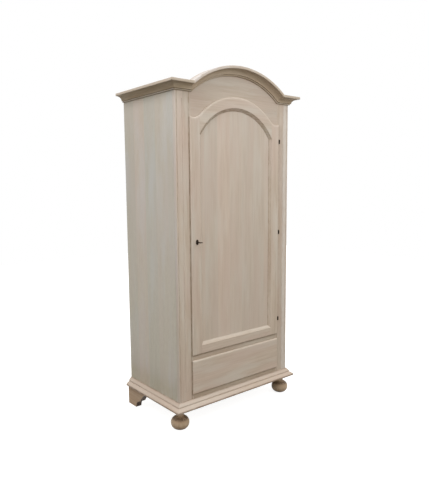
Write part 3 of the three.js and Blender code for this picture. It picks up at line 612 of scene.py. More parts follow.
# A frame stile: its section is carried up the height. The flute is half a circle whose half width falls
# as sqrt(r^2 - d^2) in its rounded ends, and a quirk sets off the bead on the corner.
def stileSheet(side):
    low, high = nodeBox("stile_right")
    front, back, outer = low[1], high[1], high[0]
    keys = ("inner", "flute", "fluteRadius", "beadRadius", "quirkStart", "quirkDepth", "seam")
    inner, flute, radius, bead, quirk, depth, seam = (frameStile[key] for key in keys)
    fluteFoot, fluteHead = frameStile["fluteLow"] + radius, frameStile["fluteHigh"] - radius
    turn = np.radians(np.array([0, 18, 36, 54, 72, 90]))
    foot = fluteFoot - radius * np.cos(turn)
    head = fluteHead + radius * np.cos(turn[::-1])
    height = [low[2], low[2] + 1, foot[0] - 6, *foot, 700, 1200, 1780, 1800]
    height = np.array([*height, *head, head[-1] + 6, 1908, 1930, high[2]])
    beyond = np.maximum(np.maximum(fluteFoot - height, height - fluteHead), 0)
    half = np.sqrt(np.maximum(radius**2 - beyond**2, 0))[:, None]
    share = np.sin(np.radians(np.linspace(-90, 90, 11)))[None, :]
    fluteX = flute + half * share
    fluteY = front + 0.75 * half * np.sqrt(np.maximum(1 - share**2, 0))
    # Painted light and shade in the flute: on the right stile the wall nearer the door darker and the outer
    # wall lighter, on the left stile the whole flute a little lighter.
    innerTone, outerTone = frameStile["fluteWear"][side]
    fluteWear = np.where(share < 0.25, innerTone, outerTone) * (half > 0)
    start = [(inner, back), (inner, front + 4), (inner, front + 1.5), (inner + 0.45, front + 0.45)]
    start += [(inner + away, front) for away in (1.5, 5, 8, 12.5, 17)]
    start += [(flute - radius - 2.5, front)]
    after = [(flute + radius + 2.5, front), (quirk - 3, front), (quirk - 0.6, front)]
    after += [(quirk + 0.3, front + 0.5), (quirk + 2.2, front + depth), (quirk + 3.2, front + depth)]
    after += [*arcPoints((outer - bead, front + bead), bead, 212, 360, 10), (outer, front + 14)]
    after += [(outer, back - seam - 1), (outer, back - seam), (outer - seam, back)]

    def carried(values):
        return np.repeat(np.array(values, float)[None], len(height), axis=0)

    flat = join([carried(start), pairs(fluteX, fluteY), carried(after)], axis=1)
    # The door lip's painted shadow along the stile, scaled down above the door's top, and painted shade that
    # grows toward the crown and is deepest just under it.
    lipShadowScale = np.where(height > frameStile["headFrom"], frameStile["headDirt"][side], 1)
    tone = frameStile["headTone"][side] * np.interp(height, [1200, 1800, 1908, 1930], [0, 1, 1, 2.5])
    startShade = np.outer(lipShadowScale, [0] * 6 + frameStile["lipWear"][side]) + tone[:, None]
    # Painted light and shade beyond the flute: a lighter strip on the right stile, a darker quirk on the left,
    # and on the bead a little of both; the last point is the dark back seam.
    afterWear = carried(frameStile["afterWear"][side] + frameStile["beadWear"][side] + [0, 0, 0, -1])
    wear = join([startShade, fluteWear, afterWear], axis=1)
    return sheet(gridPoints(flat[..., 0], flat[..., 1], height[:, None]), upright, wear)


door = {
    "halfWidth": 353.0, "bottom": 432.0, "crestRadius": 390.18, "crestCentre": 1540.82,
    "dipRadius": 71.0, "dipX": 329.0, "dipZ": 1864.0, "joint": 287.0, "jointGap": 0.15,
    "sightHalf": 270.0, "sightBottom": 505.0, "sightRadius": 318.0, "sightCentre": 1532.0,
    "mouldingWidth": 17.0, "panelOverlap": 8.0,
}


# Height of the door's top edge at x, drawn in by an inset: the crest is a circle of radius less the inset,
# the dip beside it one of radius plus the inset, and they touch on the line of their centres.
def doorTopAt(x, inset):
    crestRadius = door["crestRadius"] - inset
    dipRadius = door["dipRadius"] + inset
    crest = door["crestCentre"] + np.sqrt(np.maximum(crestRadius**2 - x**2, 0))
    away = np.abs(x) - door["dipX"]
    dip = door["dipZ"] - np.sqrt(np.maximum(dipRadius**2 - away**2, 0))
    touch = crestRadius / (door["crestRadius"] + door["dipRadius"]) * door["dipX"]
    return np.where(np.abs(x) <= touch, crest, dip)


# The crown's sizes and arch, then for its side, level and arched runs the tones: painted light and shade on the
# bead, the hollow's two ends and the lip.
crown = {
    "bottom": 1928.0, "height": 50.0, "archRadius": 527.01, "archCentre": 1521.99,
    "side": {"bead": [-1, 0, 0.7, 1, 1, 0.9, 0.3, -0.8], "hollow": (-0.4, 0), "lip": [0.5, 0.6, 0.6, 0.5, 0.6]},
    "level": {
        "bead": [-1, -0.8, -0.2, 0.5, 0.8, 0.4, -0.4, -1],
        "hollow": (-0.4, 0.1), "lip": [0.6, 0.6, 0.5, 0.4, 0.5],
    },
    "arch": {
        "bead": [-1, -0.9, -0.5, -0.1, 0, -0.1, -0.3, -0.5],
        "hollow": (-0.5, 0.3), "lip": [0.6, 0.6, 0.5, 0.6, 0.8],
    },
}
tympanum = {"halfWidth": 343.7, "lipOverlap": 9.0}


# The tympanum board: below it follows the door's top edge, above it is the arc under the crown's top.
def tympanumSheet():
    low, high = nodeBox("tympanum_board")
    lower = np.linspace(-tympanum["halfWidth"], tympanum["halfWidth"], 89)
    bottom = pairs(lower, doorTopAt(lower, tympanum["lipOverlap"]))
    top = archOver(tympanum["halfWidth"], crown["archRadius"] + crown["height"], crown["archCentre"])
    return boardSheet(join([bottom, top]), 1, low[1], high[1], lying, 1.0)


for side, word in bothSides:
    piece = makePiece("side_" + word, [mirrorSheet(sideBoard(), side)], "side")
    secondFinish(piece, (-side, 0, 0), "inner")
    cuts = (lockCuts["bolt"], lockCuts["strike"]) if side < 0 else ()
    piece = makePiece("stile_" + word, [mirrorSheet(stileSheet(side), side)], "stile", cuts=cuts)
    secondFinish(piece, (side, 0, 0), "side", 0.55, frameStile["quirkStart"] + 4)
makePiece("tympanum_board", [tympanumSheet()], "tympanum")


# A frame rail: its front has a row of points beside the edge of each lip that lies over it, so that the
# painted shadow under the lip can be darker than the rest. Steps are height and painted light value, up the
# front and down the back.
def frameRail(node, below, above=None, eased=0.6):
    low, high = nodeBox(node)
    steps = [(low[2], 0), (low[2] + eased, 0)]
    if above:
        steps += [(above - 3, 0), (above + 0.5, -0.3), (above + 3.5, 0)]
    steps += [(below - 9, 0), (below - 4, -0.8), (below - 1.5, -1), (below + 2, -1)]
    steps += [(high[2] - eased, 0), (high[2], 0), (high[2], 0), (low[2], 0)]
    z, wear = np.array(steps).T
    y = np.full(len(steps), low[1])
    y[[0, -3]] += eased
    y[-2:] = high[1]
    x = np.linspace(low[0], high[0], 9)[:, None]
    return sheet(gridPoints(y[::-1], z[::-1], x, 0), lying, wear[::-1])


drawer = {"halfWidth": 353.0, "lipLow": 198.5, "low": 204.0, "high": 403.0, "lipReach": 11.0, "groove": 225.3}
makePiece("middle_rail", [frameRail("middle_rail", door["bottom"], drawer["high"])], "middleRail")
makePiece("lower_rail", [frameRail("lower_rail", drawer["lipLow"])], "lowerRail")
print("carcass ready")


# Section of the crown as reach and height: a bead at its foot, a quirk, the hollow and the lip. The tones
# are the painted light and shade of the bead, of the hollow's two ends and of the lip from its underside up;
# the foot and the quirk are painted darker, the lip's top lighter.
def crownSection(tones):
    bead = arcPoints((5.2, 3.7), 3.6, -88, 78, 7)
    ledge = [(7.4, 7.6), (12.6, 8.0), (13.9, 8.6)]
    turn = np.radians(np.linspace(4, 88, 14))
    hollow = pairs(14 + 33 * (1 - np.cos(turn)), 9 + 25.6 * np.sin(turn))
    lip = [(48.5, 34.6), (52, 34.8), (53.6, 35.8), (54, 37.4), (54, 47), (53.4, 49), (51.6, 50)]
    points = join([[(0.3, 0.1)], bead, ledge, hollow, lip, [(46, 50), (0.3, 50)]])
    wear = [-1, *tones["bead"], -1, -0.8, 0.1, *np.linspace(*tones["hollow"], 14), *tones["lip"]]
    return points, np.array([*wear, 0.9, 1, 1, 0.9])


# Section of the base moulding: the step, the swelling slope, the groove, the upper step and its slope.
def baseSection():
    lowerStep = [(0.3, 0), (36.9, 0), (38.1, 0.4), (38.5, 1.6), (38.5, 8.2), (38.2, 9.6)]
    lowerSlope = curveTo((37.4, 10.8), (29, 19.4), (18.8, 24.6), 7)
    groove = [(17.2, 24.9), (16.4, 25.4), (16.8, 26.2), (17.7, 26.9)]
    upperSlope = curveTo((17.4, 33.8), (9.6, 43.6), (2.8, 49.2), 6)
    top = [(1.6, 50), (0.3, 50)]
    # Painted light and shade: the slopes lighter, the groove, the lowest step's face and the top against the
    # carcass darker.
    wear = [0, -1, -1, -1, -0.8, -0.5, -0.2, 0.2, 0.5, 0.6, 0.6, 0.5, 0.4, 0.2, -0.2, -0.3, -0.3, 0.1]
    wear += [0.6, 0.6, 0.6, 0.5, 0.4, 0.2, -0.1, -0.4, -0.6, -0.9, -1]
    upperStep = [(18, 28), (18, 32.4)]
    return join([lowerStep, lowerSlope, groove, upperStep, upperSlope, top]), np.array(wear)


# A moulding's sheet. Its grain is the distance along it, then the section's height and reach.
def mouldingSheet(x, y, z, along, section, wear):
    return sheet(gridPoints(x, y, z), gridPoints(along, section[:, 1], section[:, 0]), wear)


# A moulding down a side: the section goes from the corner mitre, where y = front - reach, to the back.
def sideRun(section, wear, bottom, side):
    reach, height = section.T
    rows = np.array([[0], [1]])
    y = (carcass["frontY"] - reach + carcass["glue"]) * (1 - rows) + carcass["backY"] * rows
    return mouldingSheet(side * (carcass["halfWidth"] + reach), y, bottom + height, y, section, wear)


# A moulding along the front between two x limits, each a function of the section.
def frontRun(section, wear, bottom, left, right):
    reach, height = section.T
    rows = np.array([[0], [1]])
    x = left * (1 - rows) + right * rows
    return mouldingSheet(x, carcass["frontY"] - reach, bottom + height, x, section, wear)


# Where the arch meets the level crown: at each height both have the same x, sqrt((R + h)^2 - level^2).
def archMitre(height):
    level = crown["bottom"] + height - crown["archCentre"]
    return np.sqrt((crown["archRadius"] + height) ** 2 - level**2)


# The arched crown: the section leans round the arch's centre, from one mitre to the other, so a point is
# at (R + h) times (sin, cos) of its share of the mitre's angle. Its painted highlights are stronger on its
# left, its painted shade weaker on its right, and its bead painted lighter towards the right.
def archSheet(section, wear):
    reach, height = section.T
    radius = crown["archRadius"] + height
    share = np.linspace(-1, 1, 97)[:, None]
    angle = share * np.arcsin((archMitre(height) - carcass["glue"]) / radius)
    x, z = radius * np.sin(angle), crown["archCentre"] + radius * np.cos(angle)
    rubbed = np.where(wear > 0, wear * (0.55 - 0.33 * share), wear * (1 - 0.9 * np.maximum(share, 0)))
    rubbed[:, 1:9] += 0.4 * np.maximum(share, 0)
    rubbed = np.clip(rubbed, -1, 1)
    return mouldingSheet(x, carcass["frontY"] - reach, z, angle * crown["archRadius"], section, rubbed)


section, wear = crownSection(crown["level"])
sideLightAndShade = crownSection(crown["side"])[1]
for side, word in bothSides:
    makePiece("crown_" + word, [sideRun(section, sideLightAndShade, crown["bottom"], side)], "crown")
    outer = side * (carcass["halfWidth"] + section[:, 0] - carcass["glue"])
    inner = side * (archMitre(section[:, 1]) + carcass["glue"])
    makePiece("crown_front_" + word, [frontRun(section, wear, crown["bottom"], outer, inner)], "crown")
makePiece("crown_arch", [archSheet(*crownSection(crown["arch"]))], "arch")

section, wear = baseSection()
baseBottom = 122.0
for side, word in bothSides:
    makePiece("base_moulding_" + word, [sideRun(section, wear, baseBottom, side)], "base")
outer = carcass["halfWidth"] + section[:, 0] - carcass["glue"]
makePiece("base_moulding_front", [frontRun(section, wear, baseBottom, -outer, outer)], "base")
print("mouldings ready")

ballFoot = {
    "radius": 54.5, "halfHeight": 44.0, "upperHalf": 40.5, "fullness": 2.35, "centre": 43.0, "ground": 0.2,
    "neckRadius": 22.0, "neckTop": 121.7, "tenonRadius": 10.0, "tenonTop": 137.5, "x": 422.0, "y": -214.0,
}


# Profile of a ball foot: r = R (1 - |(z - c) / h|^n)^(1 / n) from its flat to the neck, flatter and round
# (n = 2) above the middle, fuller below, then up. A painted shadow darkens it near the ground and on its
# shoulders below the neck, and painted highlights lighten its middle band and the neck.
def ballProfile():
    ground, centre, neckR, neckTop = (ballFoot[key] for key in ("ground", "centre", "neckRadius", "neckTop"))
    drop = -math.degrees(math.asin((centre - ground) / ballFoot["halfHeight"]))
    rise = math.degrees(math.acos(neckR * 1.08 / ballFoot["radius"]))
    turn = np.radians(np.linspace(drop, rise, 30))
    halfHeight = np.where(turn > 0, ballFoot["upperHalf"], ballFoot["halfHeight"])
    power = np.where(turn > 0, 2, ballFoot["fullness"])
    reach = (1 - np.abs(np.sin(turn)) ** power) ** (1 / power)
    ball = pairs(ballFoot["radius"] * reach, centre + halfHeight * np.sin(turn))
    neck = [(neckR, ball[-1, 1] + 3), (neckR, ball[-1, 1] + 8), (neckR, neckTop - 1), (neckR - 1, neckTop)]
    neck += [(ballFoot["tenonRadius"], neckTop), (ballFoot["tenonRadius"], ballFoot["tenonTop"])]
    points = join([[(ball[0, 0] * 0.6, ground)], ball, neck])
    height = points[:, 1]
    paintedShadow = 2.6 * np.maximum(1 - height / 21, 0) + 0.62 * np.exp(-(((height - 70) / 8.5) ** 2))
    rubbed = 0.9 * np.exp(-(((height - 42) / 13) ** 2)) + 0.9 * (height > 85)
    return points, np.clip(rubbed - paintedShadow, -1, 1)


profile, wear = ballProfile()
for side, word in bothSides:
    part = turnedSheet(profile, (side * ballFoot["x"], ballFoot["y"]), 2, 56, wear)
    makePiece("ball_foot_" + word, [part], "foot")

bracketFoot = {"inner": 430.0, "outer": 470.0, "top": 121.7, "edgeRadius": 1.5, "cutY": 150.0, "cutReach": 60.5}


# Outline of a bracket foot from the back: a short toe, a hollow to the knee, a step and a second hollow.
# Its sawn edge under the carcass is painted dark, a painted shadow.
def bracketSheet():
    top = bracketFoot["top"]
    hollow = curveTo((96, 19), (104, 46), (143, 53), 12)
    rise = curveTo((149, 62), (167, 90), (205, top - 8), 12)
    shape = join([[(0, 0), (91, 0)], hollow, rise, [(205, top), (0, top)]])
    shape[:, 0] = carcass["backY"] - shape[:, 0]
    inner, outer, radius = (bracketFoot[key] for key in ("inner", "outer", "edgeRadius"))
    part = boardSheet(shape[::-1], 0, inner, outer, (1, 2, 0), radius, 1.0)
    deepShade = np.abs(part["points"][..., 1] - bracketFoot["cutY"]) < bracketFoot["cutReach"]
    deepShade[:4] = deepShade[-4:] = False
    part["wear"] = np.where(deepShade, -1.0, part["wear"])
    return part


for side, word in bothSides:
    makePiece("bracket_foot_" + word, [mirrorSheet(bracketSheet(), side)], "foot")
print("feet ready")

# How the door's pieces go from the front face to the back, in steps: the outer edge's inset and y, and
# beside it the sight edge's outset and y. Light and shade are painted by where an edge faces: lighter on
# edges that face up and on the lock side of the opening, darker on edges that face down, at the foot of the
# lip's sides and on the hinge side of the opening, so each has its own row.
lipTurn = np.radians([22.5, 45, 67.5, 90])
lipRadius = 8.0
lip = pairs(lipRadius * (1 - np.sin(lipTurn)), -257 + lipRadius * (1 - np.cos(lipTurn)))
behind = [(0, -247.6), (0.6, -247), (11, -247), (11, -235.6), (11.6, -235), (14, -235)]
outerSteps = join([[(14.5, -257), (11, -257), (lipRadius, -257)], lip, behind])
sightSteps = np.array([
    (23.5, -257), (20.5, -257), (17.9, -257), (17.1, -256.5), (16.4, -255.2), (15.2, -254.3), (12.6, -253.2),
    (8.8, -250.3), (4.4, -246.4), (0.7, -244.6), (0, -244), (8.3, -244), (8.3, -235),
])
edgeLightAndShade = {
    "up": [0, 0.5, 1, 1, 1, 1, 0.8, 0.4, 0, 0, 0, 0, 0],
    "side": [0, 0, 0.1, 0.2, 0.1, -0.5, -1, -1, -1, 0, 0, 0, 0],
    "under": [0, 0, -0.1, -0.5, -0.9, -1, -1, -1, -1, 0, 0, 0, 0],
    "sightArch": [0, 0, -0.1, -0.5, -0.9, -1, -0.9, -0.8, -0.9, -1, -1, 0, 0],
    "sightFoot": [0, 0, 0.6, 0.9, 0.3, 0.5, 0.8, 0.9, 0.9, 0.3, -0.5, 0, 0],
    "sightLock": [0, 0, 0.1, 0.1, 0, 0, 0.1, 0.3, 0.3, 0.1, 0, 0, 0],
    "sightHinge": [0, 0, 0, 0.1, -0.4, -0.5, -0.4, -0.3, -0.5, -1, -1, 0, 0],
}


# Top of the sight opening at its side, for an outset: centre + sqrt((R + o)^2 - (half + o)^2).
def sightSpring(outset):
    half = door["sightHalf"] + outset
    return door["sightCentre"] + math.sqrt((door["sightRadius"] + outset) ** 2 - half**2)


# One step of a piece becomes one ring: groups of x and z points, each with the y of its own line of steps
# and the painted light and shade for where its edge faces.
def ringOf(step, groups):
    points, wear = [], []
    for word, line in groups:
        depth = (sightSteps if word.startswith("sight") else outerSteps)[step, 1]
        line = np.asarray(line, float)
        points.append(gridPoints(line[:, 0], line[:, 1], depth, 1))
        wear += [edgeLightAndShade[word][step]] * len(line)
    return join(points), wear


# A piece from its lines, a function of the outer edge's inset and the sight edge's outset.
def steppedSheet(lines, grainOrder, *extra):
    insets = zip(outerSteps[:, 0], sightSteps[:, 0])
    rings = [ringOf(step, lines(*both, *extra)) for step, both in enumerate(insets)]
    points, wear = map(np.array, zip(*rings))
    return sheet(points, grainOrder, wear)


# A door stile: outside it follows the door's edge and dip, inside the sight opening's side, whose moulding
# is mitred at both ends.
def stileLines(inset, outset, sightWord):
    joint = door["joint"] + door["jointGap"]
    width, low, edge = door["mouldingWidth"], door["bottom"] + inset, door["halfWidth"] - inset
    dipX = np.linspace(edge, joint, 16)
    dip = pairs(dipX, doorTopAt(dipX, inset))
    past, within = max(outset - width, 0), min(outset, width)
    x = door["sightHalf"] + outset
    inner = [(joint, sightSpring(width) + past), (x, sightSpring(within) + past)]
    inner += [(x, door["sightBottom"] - within - past), (joint, door["sightBottom"] - width - past)]
    under = [(joint, low), (edge - 6, low), (edge, low)]
    return ("under", under), ("side", [(edge, low + 8), (edge, dip[0, 1] - 8)]), ("up", dip), (sightWord, inner)


# The bottom rail: a straight outer edge below, the straight moulding above, mitred to the stiles' own.
def bottomRailLines(inset, outset):
    joint = door["joint"] - door["jointGap"]
    low = door["bottom"] + inset
    half = min(door["sightHalf"] + outset, joint)
    foot = door["sightBottom"] - outset
    jointZ = min(door["sightBottom"] - door["mouldingWidth"], foot)
    inner = [(joint, jointZ), (half, foot), (-half, foot), (-joint, jointZ)]
    return ("under", [(-joint, low), (joint, low)]), ("sightFoot", inner)


# The arched top rail: the crest above, the sight arch below, whose points lean round the arch's centre.
def topRailLines(inset, outset, bunched=1.15):
    joint = door["joint"] - door["jointGap"]
    spread = np.linspace(-1, 1, 73)
    edgeX = joint * np.sin(spread * bunched) / math.sin(bunched)
    radius = door["sightRadius"] + outset
    lean = spread * math.asin(min(door["sightHalf"] + outset, joint) / radius)
    arch = pairs(radius * np.sin(lean), door["sightCentre"] + radius * np.cos(lean))
    jointZ = max(sightSpring(door["mouldingWidth"]), arch[0, 1])
    crest = pairs(edgeX[::-1], doorTopAt(edgeX[::-1], inset))
    return ("up", crest), ("sightArch", join([[(-joint, jointZ)], arch, [(joint, jointZ)]]))


# The door panel lies behind the sight opening: its outline is the opening's, a little larger.
def doorPanel():
    low, high = nodeBox("door_panel")
    outset = door["panelOverlap"]
    half, foot = door["sightHalf"] + outset, door["sightBottom"] - outset
    arch = archOver(half, door["sightRadius"] + outset, door["sightCentre"])
    return boardSheet(join([[(-half, foot), (half, foot)], arch]), 1, low[1], high[1], upright, 0.6)


hingeStile, lockStile = (steppedSheet(stileLines, upright, word) for word in ("sightHinge", "sightLock"))
makePiece("door_panel", [doorPanel()], "panel", "door")
makePiece("door_stile_hinge", [hingeStile], "front", "door")
makePiece("door_stile_lock", [mirrorSheet(lockStile, -1)], "front", "door", cuts=(lockCuts["pocket"],))
makePiece("door_rail_bottom", [steppedSheet(bottomRailLines, lying)], "front", "door")
makePiece("door_rail_top", [steppedSheet(topRailLines, lying)], "front", "door")
print("door ready")


# The drawer front: its rectangle is drawn in by the same steps as the door's outer edge, and its lip
# reaches a little lower than the rest.
def drawerLines(inset, _, corner=6):
    half = drawer["halfWidth"] - inset
    low = drawer["lipLow" if inset < drawer["lipReach"] else "low"] + inset
    high = drawer["high"] - inset
    under = [(-half, low), (corner - half, low), (half - corner, low), (half, low)]
    up = [(half, high), (half - corner, high), (corner - half, high), (-half, high)]
    right, left = ([(x, low + corner), (x, high - corner)] for x in (half, -half))
    return ("under", under), ("side", right), ("up", up), ("side", left[::-1])


# A drawer side, with the groove for the bottom.
def drawerSide(depth=5.3, play=0.3, thick=6.0):
    low, high = nodeBox("drawer_side_right")
    groove, above = drawer["groove"] - play, drawer["groove"] + thick + play
    corners = [(low[0], low[2]), (high[0], low[2]), (high[0], high[2]), (low[0], high[2])]
    corners += [(low[0], above), (low[0] + depth, above), (low[0] + depth, groove), (low[0], groove)]
    return boardSheet(corners, 1, low[1], high[1], (1, 2, 0), 1.2)


makePiece("drawer_front", [steppedSheet(drawerLines, lying)], "front", "drawer")
for side, word in bothSides:
    makePiece("drawer_side_" + word, [mirrorSheet(drawerSide(), side)], "inner", "drawer")
print("drawer ready")

# Hinges. A half has the way its barrel goes, its body, and its pin's axis, way and reach.
hinge = {
    "centre": (359.3, -252.0), "radius": 5.5, "length": 14.0, "crownHeight": 3.0, "gap": 0.4, "pinRadius": 2.5,
    "heights": {"top": 1692.18, "middle": 1114.6, "bottom": 537.0},
    "halves": {"frame": (-1, "carcass", 1, 1, 25.0), "door": (1, "door", 0, -1, 42.0)},
    "wear": [0, 0.3, 0.8, 0.4, -1, 0.4, 0.4, -1, 0.4, 0.8, 0.9, *np.linspace(0.6, 0.2, 8)],
}


# Half a hinge barrel from its meeting face outward: two turned rings and a domed end.
def knuckleProfile(sign, centre):
    r, length = hinge["radius"], hinge["length"] - hinge["crownHeight"]
    start = hinge["gap"] / 2
    steps = [(0, start), (r - 0.8, start), (r, start + 0.7), (r, start + 2), (r - 0.5, start + 2.4)]
    steps += [(r, start + 2.8), (r, length - 2.2), (r - 0.5, length - 1.8), (r, length - 1.4)]
    steps += [(r, length - 0.4), (r - 0.6, length + 0.1)]
    dome = arcPoints((0, 0), 1, 18, 88, 7)
    steps += [(dx * (r - 1.2), length + dz * (hinge["crownHeight"] - 0.2)) for dx, dz in dome]
    return np.array(steps) * (1, sign) + (0, centre)


for word, height in hinge["heights"].items():
    for half, (sign, body, axis, way, reach) in hinge["halves"].items():
        barrel = turnedSheet(knuckleProfile(sign, height), hinge["centre"], 2, 32, hinge["wear"])
        start, radius = hinge["centre"][axis], hinge["pinRadius"]
        steps = [(radius, start + way * 4), (radius, start + way * (reach - 1))]
        steps += [(radius - 1, start + way * reach)]
        pinZ = height + sign * hinge["length"] / 2
        pin = turnedSheet(steps, (hinge["centre"][1 - axis], pinZ), axis, 16)
        name = pieceName(f"hinge_{word}_{half}_half")
        makePiece(f"hinge_{half}_half_{word}", [barrel, pin], "darkMetal", body, name=name)

lock = {
    "x": -313.0, "height": 1097.0, "plateFront": -258.9, "plateBack": -257.3, "plateHalfX": 10.0,
    "plateHalfZ": 16.0, "holeRadius": 2.8, "slotLength": 9.0, "slotHalf": 1.2, "pinOffset": 13.6,
}


# Escutcheon: rings between an oval edge and the keyhole, which are both functions of one angle; the
# keyhole's radius is the larger of its round and its slot, min(length / cos, half width / |sin|).
def escutcheonSheet():
    angle = np.linspace(0, fullTurn, 96, endpoint=False)
    down = np.cos(angle + math.pi / 2)
    beside = np.abs(np.sin(angle + math.pi / 2))
    slot = np.minimum(lock["slotLength"] / np.maximum(down, 1e-3), lock["slotHalf"] / np.maximum(beside, 1e-3))
    hole = np.maximum(lock["holeRadius"], np.where(down > 0, slot, 0))
    oval = 1 / np.sqrt((np.cos(angle) / lock["plateHalfX"]) ** 2 + (np.sin(angle) / lock["plateHalfZ"]) ** 2)
    front, back = lock["plateFront"], lock["plateBack"]
    steps = [(0, back, 0), (0, back - 0.5, 0.6), (0.35, front + 0.5, 1), (0.9, front + 0.15, 0.9)]
    steps += [(2.0, front, 0), (2.9, front + 0.35, -0.8), (3.6, front, 0.3)]
    rings = [(oval - inset, y, wear) for inset, y, wear in steps]
    steps = [(0.9, front + 0.05, 0), (0.3, front + 0.15, 0.6), (0, front + 0.5, 0.5), (0, back, 0)]
    rings += [(hole + outset, y, wear) for outset, y, wear in steps]
    reach, y, wear = map(np.array, zip(*rings))
    x, z = lock["x"] + reach * np.cos(angle), lock["height"] + reach * np.sin(angle)
    points = gridPoints(x, z, y[:, None], 1)
    return sheet(points, upright, wear[:, None], loop=True, caps=openEnds)


makePiece("escutcheon", [escutcheonSheet()], "darkMetal", "door", sharp=50)

# The key: its bow, then the stem's radius and y from the bow back, and the wear of each.
keyShape = {
    "bowY": -290.5, "bowHalfX": 12.0, "bowHalfY": 9.0, "rim": 4.2, "thick": 4.8, "bitFrom": 1, "bitTo": 9,
    "stem": [
        (0, -282.6), (2.0, -282.6), (2.3, -281.5), (2.2, -279.6), (3.4, -278.4), (4.0, -277.4), (4.0, -276.2),
        (3.4, -275.3), (2.5, -274.6), (2.9, -273.6), (2.9, -272.8), (2.5, -272.2), (2.5, -238.5), (2.0, -237.6),
        (0, -237.6),
    ],
    "stemWear": [0, 0.2, 0.3, -0.6, 0.6, 1, 1, 0.6, -0.8, 0.8, 0.8, -0.5, 0.1, 0.4, 0],
}


# The key's bow: a rounded rim carried round an oval, whose outward direction is (cos / b, sin / a) scaled.
def bowSheet():
    a = keyShape["bowHalfX"] - keyShape["rim"] / 2
    b = keyShape["bowHalfY"] - keyShape["rim"] / 2
    around = np.linspace(0, fullTurn, 48, endpoint=False)[:, None]
    tube = np.linspace(0, fullTurn, 16, endpoint=False)[None, :]
    outward = pairs(b * np.cos(around), a * np.sin(around))
    outward = outward / np.linalg.norm(outward, axis=-1, keepdims=True)
    swell = keyShape["rim"] / 2 * np.cos(tube)
    x = lock["x"] + a * np.cos(around) + outward[..., 0] * swell
    y = keyShape["bowY"] + b * np.sin(around) + outward[..., 1] * swell
    z = lock["height"] + keyShape["thick"] / 2 * np.sin(tube)
    return sheet(gridPoints(x, y, z), straight, 0.5 + 0.4 * np.cos(tube), loop=True, caps=openEnds)


centre = (lock["x"], lock["height"])
stem = turnedSheet(keyShape["stem"], centre, 1, 24, keyShape["stemWear"], openEnds)
near, far = lock["x"] + keyShape["bitFrom"], lock["x"] + keyShape["bitTo"]
bitCorners = [(near, -243.6), (far, -243.6), (far, -238.2), (near, -238.2)]
bit = boardSheet(bitCorners, 2, lock["height"] - 0.9, lock["height"] + 0.9, straight, 0.3, 0.4)
makePiece("key", [bowSheet(), stem, bit], "darkMetal", "key")

metalBoxes = {
    "lock_case": ("door", 1, 0.8, (lockCuts["channel"],)),
    "lock_bolt": ("bolt", 0, 0.5, ()),
    "strike_plate": ("carcass", 0, 0.3, (lockCuts["bolt"],)),
}
for node, (body, axis, radius, cuts) in metalBoxes.items():
    makePiece(node, [nodeBoard(node, axis, radius, upright, 1.0)], "steel", body, cuts=cuts)


# A slotted screw head on a grid of columns across the slot: a dome of height h (1 - (x^2 + y^2) / r^2), cut
# down where |x| is less than half the slot. Facing is +1 or -1 along the axis it looks in.
def screwHead(centre, axis, facing, radius, turn, rise=0.5, slot=0.35):
    edge = slot / radius
    across = np.array([-1, -0.97, -0.8, -0.5, -edge - 0.02, -edge, edge, edge + 0.02, 0.5, 0.8, 0.97, 1])
    across = across[:, None]
    along = np.sqrt(np.maximum(1 - across**2, 0)) * [-1, -0.97, -0.7, -0.35, 0, 0.35, 0.7, 0.97, 1]
    across = across + 0 * along
    inSlot = np.abs(across) < edge + 0.01
    height = rise * (1 - across**2 - along**2) ** 0.5 + 0.05
    height = np.where(inSlot, 0.1, height)
    height = np.where(np.abs(across) ** 2 + along**2 > 0.995, 0, height)
    wear = np.where(inSlot, -1, 0.8 * (across**2 + along**2))
    first = radius * (across * math.cos(turn) - along * math.sin(turn))
    second = radius * (across * math.sin(turn) + along * math.cos(turn))
    one, two = (centre[index] for index in range(3) if index != axis)
    points = gridPoints(one + first, two + second, centre[axis] + facing * height, axis)
    back = points.copy()
    back[..., axis] = centre[axis] - facing * 0.4
    rims = [[grid[0], grid[1:-1, -1], grid[-1, ::-1], grid[-2:0:-1, 0]] for grid in (points, back)]
    wall = np.stack([join(rim) for rim in rims])
    top = sheet(points, straight, wear, ring=False, caps=openEnds)
    return [top, sheet(wall, straight, caps=(False, True))]


# Screw heads in groups: body, axis, facing, radius and places, and those of both sides: radius, x and
# places. In each group a slot is turned by 1.9 radians from the one before.
screwGroups = {
    "lock_screws": ("door", 1, 1, 2.4, [(x, -235.0, z) for x in (-336, -301.5) for z in (1087, 1133)]),
    "strike_screws": ("carcass", 0, 1, 1.9, [(-344.0, -240.5, z) for z in (1093.5, 1132.5)]),
}
sideScrews = {
    "batten": (2.6, 405.7, [(y, z) for y in (-180, 34, 248) for z in (1689.7, 412.7)]),
    "socket": (1.5, 413.7, [(34 - 17.2, 1640), (34 + 17.2, 1640)]),
}
for side, word in bothSides:
    for kind, (radius, x, spots) in sideScrews.items():
        places = [(side * x, *spot) for spot in spots]
        screwGroups[f"{kind}_screws_{word}"] = ("carcass", 0, -side, radius, places)
for name, (body, axis, facing, radius, places) in screwGroups.items():
    heads = [screwHead(place, axis, facing, radius, 0.4 + 1.9 * number) for number, place in enumerate(places)]
    makePiece(name, sum(heads, []), "steel", body, (), weighted=False)

